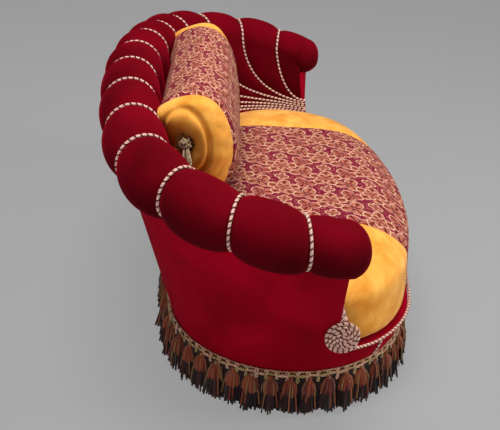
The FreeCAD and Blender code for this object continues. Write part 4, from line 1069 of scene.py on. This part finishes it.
def seat_form():
    """Crowned seat, its sides drawn in towards the border."""
    rows = SIDE_ROWS + CROWN_ROWS + CLOSING_ROWS
    obj, u, v = grid("seat_whole", 160, rows)
    row = np.rint(v * rows).astype(int)
    points = np.zeros((len(u), 3))
    wall = Station(np.linspace(0, 1, 240)).inner(np.full(240, SEAT_WIDE))
    for k in range(rows + 1):
        here = row == k
        shrink = 1.0
        filling = 1.0
        if k <= SIDE_ROWS:
            height = between(SEAT_LOW, SEAT_WIDE, k / SIDE_ROWS)
            inset = SEAT_DRAW * ((SEAT_WIDE - height) / (SEAT_WIDE - SEAT_LOW)) ** 2
        else:
            way = min((k - SIDE_ROWS) / CROWN_ROWS, 1.0)
            inset = CROWN_INSET * way ** 1.6
            height = SEAT_WIDE + SEAT_CROWN * (1 - (1 - inset / CROWN_RUN) ** 3)
            shrink = 1 - max(0, k - SIDE_ROWS - CROWN_ROWS) / CLOSING_ROWS
            filling = 1 - way
        flat = SEAT.drawn_in(inset).round(u[here])[0]
        if k <= SIDE_ROWS:
            # Between the arms its foot is fuller and meets the border's cord.
            fuller = SEAT.drawn_in(-FOOT_FULLER * inset).round(u[here])[0]
            flat = between(flat, fuller, ease(ramp(flat[:, 1:2], *FOOT_IN_FRONT)))
        # Behind the arms' fronts it fills out to the wall.
        rim, out = SEAT.round(u[here])
        room = np.linalg.norm((rim[:, None] - wall[None])[..., :2], axis=2).min(axis=1)
        behind = ramp(rim[:, 1], *FILLED_BEHIND)
        flat = flat + along(out, filling * behind * np.clip(room - SEAT_GAP, 0, None))
        flat[:, 0] *= shrink
        flat[:, 1] = between(SEAT.centre_y, flat[:, 1], shrink)
        points[here] = flat + UP * height
    shape(obj, points)
    weld(obj, fill=True)
    return obj


def lay_on_seat(panel):
    """Maps a seat panel from above, carried on down its sides."""
    points = read(panel, "co")
    fall = np.clip(SEAT_WIDE + 0.02 - points[:, 2], 0, None)
    cloth_map(panel, points[:, 0], points[:, 1] - np.where(points[:, 1] < SEAT.centre_y, fall, -fall))


class SOFA_OT_seat(bpy.types.Operator):
    """Makes the crowned seat in its floral middle and two gold ends"""
    bl_idname = "sofa.seat"
    bl_label = "Seat"

    def execute(self, context):
        sizes = context.scene.sofa_sizes
        whole = seat_form()
        plump(whole, sizes.voxel * 1.5, sizes.seat_swell, 40)
        sew(whole, SEAT_SEAM, 0.006, 0.010)
        points = read(whole, "co")
        shape(whole, points + along(read(whole, "normal"), 0.0016 * lumps(points, 0.07)))
        cut_panels(whole, "seat", SEAT_SEAM, lay_on_seat, 0.85, "sofa", ["seat_cover_middle", "seat_foam"],
                   ["seat_cover_left"], ["seat_cover_right"])
        return {"FINISHED"}


CUSHION_SEAM = 0.365
CUSHION_HALF = 0.445
CUSHION_CENTRE = np.array([0.0, 0.1953, 0.6664])
CUSHION_TILT = math.radians(-10)
CUSHION_OVAL = Oval(0.210, 0.105, 0.086, 0.0)
CUSHION_SHARES = (0, 0.55, 0.86, 0.96, 1)
CUSHION_TALL = (1.0, 0.97, 0.84, 0.70, 0.55)
CUSHION_THICK = (1.0, 1.0, 0.94, 0.85, 0.72)
CUSHION_LIFT = (0, 0.006, 0.032, 0.058, 0.076)
CUSHION_ROWS = 72
CUSHION_END_ROWS = 12
SETTLED_BACK = 0.034
SETTLED_ENDS = 0.016
END_DISC = 0.385
DISC_HIGH = 0.115
DISC_DEEP = 0.076
DISC_SEAM = 0.010
TUFT_PULL = 0.030
TUFT_WIDE = 0.036
TUFT_BACK = 0.034
TUFT_DEEP = 0.034
MOP_YARNS = 110
MOP_RADIUS = 0.031
MOP_HIGH = 0.030
HANGING_YARNS = 34


def lean(points):
    """From the cushion's upright place to its leaning one."""
    turn = np.array(Matrix.Rotation(CUSHION_TILT, 3, "X"))
    return points @ turn.T + CUSHION_CENTRE


def cushion_form():
    """Cushion before it is filled, upright: its ends are smaller and higher than its middle."""
    obj, u, v = grid("cushion_whole", 80, CUSHION_ROWS)
    row = np.rint(v * CUSHION_ROWS).astype(int)
    flat = CUSHION_OVAL.round(u)[0]
    x = -np.cos(np.pi * ramp(row, CUSHION_END_ROWS, CUSHION_ROWS - CUSHION_END_ROWS))
    tall, thick, lift = [np.interp(np.abs(x), CUSHION_SHARES, profile)
                         for profile in (CUSHION_TALL, CUSHION_THICK, CUSHION_LIFT)]
    closing = ramp(np.minimum(row, CUSHION_ROWS - row), 0, CUSHION_END_ROWS)
    points = np.zeros((len(u), 3))
    points[:, 0] = x * (CUSHION_HALF - 0.014) + np.sign(x) * 0.016 * (1 - closing ** 2)
    points[:, 1] = flat[:, 1] * thick * closing * 0.96
    points[:, 2] = flat[:, 0] * tall * closing * 0.97 + lift
    # The upper back settles over the rolled edge, more so near the ends.
    settled = SETTLED_BACK + SETTLED_ENDS * ramp(np.abs(points[:, 0]), 0.22, 0.38)
    points[:, 1] += settled * ramp(points[:, 1], 0, 0.06) * ease(ramp(points[:, 2], 0.06, 0.18))
    shape(obj, points)
    weld(obj, fill=True)
    return obj


def cushion_dimples(obj):
    """The seam round each end disc and the pull of the tuft in its middle."""
    points = read(obj, "co")
    high = points[:, 2] - CUSHION_LIFT[-1]
    ahead = points[:, 1] - TUFT_BACK
    reach = np.hypot(high / DISC_HIGH, ahead / DISC_DEEP)
    on_end = ramp(np.abs(points[:, 0]), END_DISC, END_DISC + 0.02)
    ring = np.exp(-((reach - 0.92) / 0.10) ** 2) * on_end
    tuft = np.exp(-(high ** 2 + ahead ** 2) / TUFT_WIDE ** 2) * on_end
    points = points - along(read(obj, "normal"), DISC_SEAM * ring)
    points[:, 0] -= np.sign(points[:, 0]) * TUFT_PULL * tuft
    shape(obj, points)


def lay_on_cushion(panel):
    """Maps a cushion panel round its section, then leans it back."""
    points = read(panel, "co")
    around = np.arctan2(points[:, 1] / CUSHION_OVAL.half_depth, points[:, 2] / CUSHION_OVAL.half_length)
    cloth_map(panel, points[:, 0] + 0.03, around * 0.165)
    shape(panel, lean(points))


class SOFA_OT_cushion(bpy.types.Operator):
    """Makes the loose back cushion with its gold ends and tufts"""
    bl_idname = "sofa.cushion"
    bl_label = "Cushion"

    def execute(self, context):
        sizes = context.scene.sofa_sizes
        whole = cushion_form()
        plump(whole, sizes.voxel, sizes.cushion_swell, 8)
        sew(whole, CUSHION_SEAM, 0.007, 0.009)
        cushion_dimples(whole)
        cut_panels(whole, "cushion", CUSHION_SEAM, lay_on_cushion, 0.8, "cushion",
                   ["cushion_cover_middle", "cushion_filling"], ["cushion_end_left"], ["cushion_end_right"])
        self.tufts()
        return {"FINISHED"}

    def tufts(self):
        """A small mop of cut and looped yarn on each end, with a small tassel that lies on the end."""
        chance = random.Random(7)
        yarns = Yarns()
        for side in (-1, 1):
            root = np.array([side * (CUSHION_HALF - TUFT_DEEP), TUFT_BACK, CUSHION_LIFT[-1]])
            for i in range(MOP_YARNS):
                angle = chance.uniform(0, 2 * math.pi)
                spread = chance.uniform(0.2, 1.0)
                round_y = MOP_RADIUS * spread * math.cos(angle)
                round_z = MOP_RADIUS * spread * math.sin(angle)
                tone = chance.uniform(0.55, 1.0) if spread < 0.72 else chance.uniform(0.0, 0.5)
                out = side * MOP_HIGH * (1.15 - spread ** 2)
                tip = root + np.array([out, round_y, round_z - 0.006 * spread])
                bow = np.array([side * 0.010, 0.3 * round_y, 0.3 * round_z])
                yarns.lay([root, between(root, tip, 0.5) + bow, tip], 0.0021, tone)
            for i in range(HANGING_YARNS):
                angle = math.pi * (i + chance.uniform(-0.4, 0.4)) / HANGING_YARNS
                wide = np.array([side * 0.005 * math.sin(angle), 0.011 * math.cos(angle), 0.0])
                drop = chance.uniform(0.050, 0.062)
                path = [root + np.array([side * out, 0.0, -drop * share]) + wide * (0.5 + 0.6 * share)
                        for out, share in ((0.018, 0.15), (0.033, 0.45), (0.040, 0.75), (0.042, 1.0))]
                yarns.lay(path, 0.0019, chance.uniform(0.25, 0.9))
        yarns.points = lean(np.array(yarns.points))
        obj = yarns.piece("cushion_tufts_cut")
        weld(obj, fill=False)
        dress(obj, "tuft", ["cushion_tufts"], body="cushion")


# Braid and fringe.
YARN_SIDES = 4
YARN_HELPER = np.array([0.31, 0.87, 0.38])
GIMP_SIDES = 6
BRAID_LOOP = 0.030
BRAID_GROUND_TONE = 0.06
TASSEL_PITCH = 0.055
TASSEL_PATTERNS = 6
TASSEL_STAND = 0.010
BELL = 0.056
KNOT_RADIUS = 0.0066
SKIRT_PITCH = 0.0042
BANDS = (
    ("back", -BASE.side_run, BASE.side_run),
    ("right", BASE.side_run, 2 * BASE.quarter - BASE.side_run),
    ("front", 2 * BASE.quarter - BASE.side_run, 2 * BASE.quarter + BASE.side_run),
    ("left", 2 * BASE.quarter + BASE.side_run, BASE.whole - BASE.side_run),
)


def rings(line, across, rise, radius, sides):
    """Points round each place of a line, side by side."""
    angle = 2 * math.pi * np.arange(sides)[:, None] / sides
    round_it = across[:, None] * np.cos(angle) + rise[:, None] * np.sin(angle)
    return (line[:, None] + radius * round_it).reshape(-1, 3)


class Yarns:
    """Lengths of yarn gathered in one mesh, each with its tone."""

    def __init__(self):
        self.points = []
        self.faces = []
        self.tones = []

    def put(self, points, faces, tones):
        """Adds points and tones, and faces that count from the first of them."""
        first = len(self.points)
        self.points.extend(points)
        self.faces.extend([first + k for k in face] for face in faces)
        self.tones.extend(tones)

    def lay(self, path, radius, tone):
        """A short length of yarn, closed at both ends."""
        path = np.asarray(path, float)
        last = len(path) - 1
        places = np.arange(last + 1)
        heading = unit(path[np.minimum(places + 1, last)] - path[np.maximum(places - 1, 0)])
        across = unit(np.cross(heading, YARN_HELPER))
        points = rings(path, across, np.cross(heading, across), radius, YARN_SIDES)
        faces = []
        for k in range(last * YARN_SIDES):
            beside = k + 1 if (k + 1) % YARN_SIDES else k + 1 - YARN_SIDES
            faces.append((k, beside, beside + YARN_SIDES, k + YARN_SIDES))
        faces.append(range(YARN_SIDES - 1, -1, -1))
        faces.append(range(last * YARN_SIDES, len(points)))
        self.put(points, faces, [tone] * len(points))

    def piece(self, name):
        mesh = bpy.data.meshes.new(name)
        mesh.from_pydata([tuple(point) for point in self.points], [], self.faces)
        mesh.update()
        obj = bpy.data.objects.new(name, mesh)
        bpy.context.scene.collection.objects.link(obj)
        mark(obj, "yarn", self.tones)
        return obj


def tassel(chance, spread):
    """A bell of cut yarn over a longer skirt, hung from the braid; local, with the braid's edge at z = 0."""
    yarns = Yarns()
    drop = BRAID_LOW - 0.007
    warmth = chance.uniform(-0.12, 0.10)
    # Each layer: yarns, widths, reach, start, radius, tones, and its outline from top to hem.
    layers = (
        (44, (0.45, 1.15), drop, 0.0, 0.0033, (0.02, 0.40),
         ((0.12, 0.30), (0.45, 0.72), (0.75, 0.98), (1.0, 1.12))),
        (5, (1.05, 1.20), drop * 0.86, 0.0, 0.0022, (0.6, 1.0),
         ((0.45, 0.78), (0.60, 0.95), (0.80, 1.0), (1.0, 1.04))),
        (36, (0.70, 0.88), BELL, 0.006, 0.0034, (0.48 + warmth, 0.76 + warmth),
         ((0.10, 0.30), (0.32, 0.82), (0.66, 1.04), (1.0, 0.86))),
        (7, (0.84, 0.94), BELL, 0.006, 0.0024, (0.78, 1.0),
         ((0.10, 0.32), (0.32, 0.86), (0.66, 1.08), (1.0, 0.92))),
    )
    for count, widths, reach, start, radius, tones, outline in layers:
        for i in range(count):
            angle = 2 * math.pi * (i + chance.uniform(-0.5, 0.5)) / count
            wide = spread * chance.uniform(*widths)
            end = reach * chance.uniform(0.88, 1.0)
            sway = chance.uniform(-0.12, 0.30)
            path = []
            for share, out in outline:
                grown = wide * (out + sway * share ** 3)
                path.append((grown * math.cos(angle), grown * math.sin(angle), -start - end * share))
            yarns.lay(path, radius, chance.uniform(*tones))
    # Four turns of yarn bind its neck.
    turn = np.arange(9) * math.pi / 4
    for i in range(4):
        height = np.full(9, 0.001 - 0.0034 * i)
        ring = np.stack([KNOT_RADIUS * np.cos(turn), KNOT_RADIUS * np.sin(turn), height], -1)
        yarns.lay(ring, 0.0022, chance.uniform(0.55, 0.9))
    return yarns


def skirt(chance, first, last):
    """A dense row of dark yarns behind the tassels of a band."""
    yarns = Yarns()
    number = int((last - first) / SKIRT_PITCH)
    for i in range(number):
        for stand in (-0.001, 0.008):
            spot, out = BASE.at(first + (last - first) * (i + chance.uniform(0, 1)) / number)
            sideways = np.cross(UP, out)
            sway = chance.uniform(-0.006, 0.006)
            hem = chance.uniform(0.006, 0.020)
            path = []
            for share in (0, 0.4, 0.75, 1.0):
                swung = spot + out * (stand + 0.006 * share) + sideways * sway * share ** 2
                path.append(swung + UP * between(BRAID_LOW, hem, share))
            yarns.lay(path, 0.0027, chance.uniform(0.0, 0.26))
    return yarns


class SOFA_OT_fringe(bpy.types.Operator):
    """Hangs the tassel fringe and sews the scrolled braid over its heading"""
    bl_idname = "sofa.fringe"
    bl_label = "Fringe"

    def execute(self, context):
        spread = context.scene.sofa_sizes.tassel_spread
        chance = random.Random(41)
        patterns = [tassel(chance, spread) for i in range(TASSEL_PATTERNS)]
        for side, first, last in BANDS:
            number = int(round((last - first) / TASSEL_PITCH))
            yarns = skirt(chance, first, last)
            for i in range(number):
                pattern = patterns[chance.randrange(len(patterns))]
                spot, out = BASE.at(between(first, last, (i + 0.5) / number))
                turn = np.array(Matrix.Rotation(chance.uniform(0, 2 * math.pi), 3, "Z"))
                wide = chance.uniform(0.85, 1.14)
                swell = np.array([wide, wide, chance.uniform(0.94, 1.0)])
                points = (np.array(pattern.points) * swell) @ turn.T
                tones = np.clip(np.array(pattern.tones) + chance.uniform(-0.05, 0.05), 0, 1)
                yarns.put(points + spot + out * TASSEL_STAND + UP * BRAID_LOW, pattern.faces, tones)
            dress(yarns.piece("fringe_%s_tassels" % side), "fringe", ["fringe_" + side])
        self.braid()
        return {"FINISHED"}

    def braid(self):
        """Two gimps scrolled in loops and one along the top edge, over a dark ground."""
        loops = int(BASE.whole / BRAID_LOOP)
        turns = np.linspace(0, 2 * math.pi * loops, loops * 18 + 1)[:-1]
        even = BASE.whole * turns / turns[-1]
        edge = even + BASE.whole / loops / 2
        sag = 0.5 + 0.5 * np.sin(turns * 0.31) * np.sin(turns * 0.113 + 1)
        # Each gimp: its run, height, stand off the rail, radius and tone.
        gimps = (
            (even - 0.0110 * np.sin(turns), 0.1425 + 0.0085 * np.cos(turns),
             0.0078 + 0.0016 * np.sin(turns / 2), 0.0029, 0.72),
            (edge + 0.0100 * np.sin(turns), 0.1340 - 0.008 * sag + (0.0070 + 0.008 * sag) * np.cos(turns),
             0.0104 + 0.0014 * np.cos(turns / 2), 0.0025, 0.92),
            (even, 0.1500 + 0.0010 * np.cos(turns * 3), 0.0060, 0.0021, 0.45),
        )
        here = np.arange(len(turns) * GIMP_SIDES).reshape(-1, GIMP_SIDES)
        beside = np.roll(here, -1, axis=1)
        faces = np.stack([here, beside, np.roll(beside, -1, axis=0), np.roll(here, -1, axis=0)], -1)
        faces = faces.reshape(-1, 4).tolist()
        yarns = Yarns()
        for runs, height, stand, radius, tone in gimps:
            spot, out = BASE.at(runs)
            line = spot + along(out, stand) + along(UP, height)
            heading = unit(np.roll(line, -1, axis=0) - np.roll(line, 1, axis=0))
            tones = np.clip(tone + 0.20 * np.sin(np.repeat(turns, GIMP_SIDES) * 0.37), 0, 1)
            yarns.put(rings(line, unit(np.cross(heading, out)), out, radius, GIMP_SIDES), faces, tones)
        band, u, v = grid("braid_ground", 240, 2)
        spot, out = BASE.round(u)
        shape(band, spot + out * 0.0046 + along(UP, between(BRAID_LOW, BRAID_TOP, v)))
        thicken(band, 0.003)
        mark(band, "yarn", np.full(len(band.data.vertices), BRAID_GROUND_TONE))
        scroll = yarns.piece("braid_scrolls")
        weld(scroll, fill=False)
        dress(join("braid_scrolled", [scroll, band]), "braid", ["braid"])


# Frame pieces that stay as they are.
CAD_FINISHES = {
    "front_rail": "beech", "back_rail": "beech", "left_end_rail": "beech", "right_end_rail": "beech",
    "seat_stretchers": "beech", "corner_blocks": "beech", "arm_posts": "beech", "back_ribs": "beech",
    "feet": "dark_wood", "foot_glides": "glide", "foot_bolts": "zinc", "webbing_cross": "jute",
    "webbing_long": "jute", "dust_cover": "dust", "inner_lining": "red",
}


class SOFA_OT_frame_finishes(bpy.types.Operator):
    """Gives the frame pieces that stay as they are their finishes"""
    bl_idname = "sofa.frame_finishes"
    bl_label = "Frame finishes"

    def execute(self, context):
        for node, finish in CAD_FINISHES.items():
            finish_with(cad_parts[node], finish)
        return {"FINISHED"}


# Stage.
PHOTO_WIDTH = 500
CAMERA_PLACE = Vector((-2.7555, 0.1359, 1.7254))
CAMERA_YAW = -0.0411
CAMERA_PITCH = -0.4825
CAMERA_ROLL = 0.0618
CAMERA_FOCUS_PIXELS = 863
SENSOR = 36.0
FLOOR_SIZE = 24
FLOOR_EVEN_SHARE = 0.8
GLOW = 0.07
LAMP_AIM = Vector((0, 0, 0.45))
# Each lamp: name, place, width and power.
LAMPS = (
    ("key", (-3.4, 1.0, 1.5), 1.6, 36),
    ("rim", (-0.6, -3.0, 2.8), 1.8, 110),
    ("top", (-0.5, 0.5, 4.2), 2.2, 170),
)


class SOFA_OT_stage(bpy.types.Operator):
    """Sets the pale floor, the soft lights and the camera at the photograph's angle"""
    bl_idname = "sofa.stage"
    bl_label = "Stage"

    def execute(self, context):
        context.scene.view_settings.view_transform = "Standard"
        self.floor()
        self.surroundings(context.scene)
        self.lamps(context.scene)
        self.camera(context.scene)
        return {"FINISHED"}

    def floor(self):
        deselect()
        bpy.ops.mesh.primitive_grid_add(x_subdivisions=2, y_subdivisions=2, size=FLOOR_SIZE)
        floor = bpy.context.object
        floor.name = "studio_floor"
        material, tree, shader = blank("pale_floor")
        set_shader(shader, Base_Color=linear("B4B4B4"), Roughness=0.95, Specular_IOR_Level=0.1)
        # Seen directly, most of the floor's light is an even grey, so that it has no bright middle.
        ray = add(tree, "LightPath").outputs
        seen = add(tree, "Math", {0: ray["Is Camera Ray"], 1: ray["Is Glossy Ray"]}, operation="ADD")
        seen = add(tree, "Math", {0: seen, 1: ray["Is Transmission Ray"]}, operation="ADD", use_clamp=True)
        share = add(tree, "Math", {0: seen, 1: FLOOR_EVEN_SHARE}, operation="MULTIPLY")
        even = add(tree, "Emission", {"Color": linear("A3A3A3")})
        mixed = add(tree, "MixShader", {0: share, 1: shader, 2: even})
        tree.links.new(mixed.outputs[0], tree.nodes["Material Output"].inputs["Surface"])
        floor.data.materials.append(material)

    def surroundings(self, scene):
        """A faint glow all round, and an even grey where the camera sees past the floor."""
        world = bpy.data.worlds.new("studio")
        world.use_nodes = True
        tree = world.node_tree
        glow = tree.nodes["Background"]
        set_shader(glow, Color=linear("F2F2F2"), Strength=GLOW)
        seen = add(tree, "LightPath").outputs["Is Camera Ray"]
        wall = add(tree, "Background", {"Color": linear("A4A4A4"), "Strength": 1.0})
        mixed = add(tree, "MixShader", {0: seen, 1: glow, 2: wall})
        tree.links.new(mixed.outputs[0], tree.nodes["World Output"].inputs["Surface"])
        scene.world = world

    def lamps(self, scene):
        for name, place, wide, power in LAMPS:
            data = bpy.data.lights.new(name, "AREA")
            data.shape = "DISK"
            data.size = wide
            data.energy = power
            lamp = bpy.data.objects.new(name, data)
            scene.collection.objects.link(lamp)
            lamp.location = place
            lamp.rotation_euler = (LAMP_AIM - lamp.location).to_track_quat("-Z", "Y").to_euler()

    def camera(self, scene):
        data = bpy.data.cameras.new("camera")
        data.sensor_width = SENSOR
        data.lens = SENSOR * CAMERA_FOCUS_PIXELS / PHOTO_WIDTH
        camera = bpy.data.objects.new("camera", data)
        scene.collection.objects.link(camera)
        ahead = Vector((math.cos(CAMERA_PITCH) * math.cos(CAMERA_YAW),
                        math.cos(CAMERA_PITCH) * math.sin(CAMERA_YAW), math.sin(CAMERA_PITCH)))
        right = ahead.cross(Vector(UP)).normalized()
        above = right.cross(ahead)
        turned = right * math.cos(CAMERA_ROLL) + above * math.sin(CAMERA_ROLL)
        above = above * math.cos(CAMERA_ROLL) - right * math.sin(CAMERA_ROLL)
        turn = Matrix((turned, above, -ahead)).transposed()
        camera.matrix_world = Matrix.Translation(CAMERA_PLACE) @ turn.to_4x4()
        scene.camera = camera


class SOFA_PT_panel(bpy.types.Panel):
    """Lists the pieces of the sofa and the sizes and colours they take"""
    bl_idname = "SOFA_PT_panel"
    bl_label = "Clamshell sofa"
    bl_space_type = "VIEW_3D"
    bl_region_type = "UI"
    bl_category = "Sofa"

    def draw(self, context):
        layout = self.layout
        for step in STEPS:
            layout.operator(step.bl_idname)
        for group in (context.scene.sofa_sizes, context.scene.sofa_colours):
            for key in group.__annotations__:
                layout.prop(group, key)


STEPS = (SOFA_OT_flutes, SOFA_OT_covers, SOFA_OT_cords, SOFA_OT_seat, SOFA_OT_cushion, SOFA_OT_fringe,
         SOFA_OT_frame_finishes, SOFA_OT_stage)
CLASSES = (SofaSizes, SofaColours, *STEPS, SOFA_PT_panel)


def register():
    for each in CLASSES:
        bpy.utils.register_class(each)
    bpy.types.Scene.sofa_sizes = bpy.props.PointerProperty(type=SofaSizes)
    bpy.types.Scene.sofa_colours = bpy.props.PointerProperty(type=SofaColours)


def unregister():
    del bpy.types.Scene.sofa_colours
    del bpy.types.Scene.sofa_sizes
    for each in reversed(CLASSES):
        bpy.utils.unregister_class(each)


def main():
    register()
    make_materials(bpy.context.scene.sofa_colours)
    bpy.ops.sofa.flutes()
    bpy.ops.sofa.covers()
    bpy.ops.sofa.cords()
    bpy.ops.sofa.seat()
    bpy.ops.sofa.cushion()
    bpy.ops.sofa.fringe()
    bpy.ops.sofa.frame_finishes()
    bpy.ops.sofa.stage()


if __name__ == "__main__":
    main()
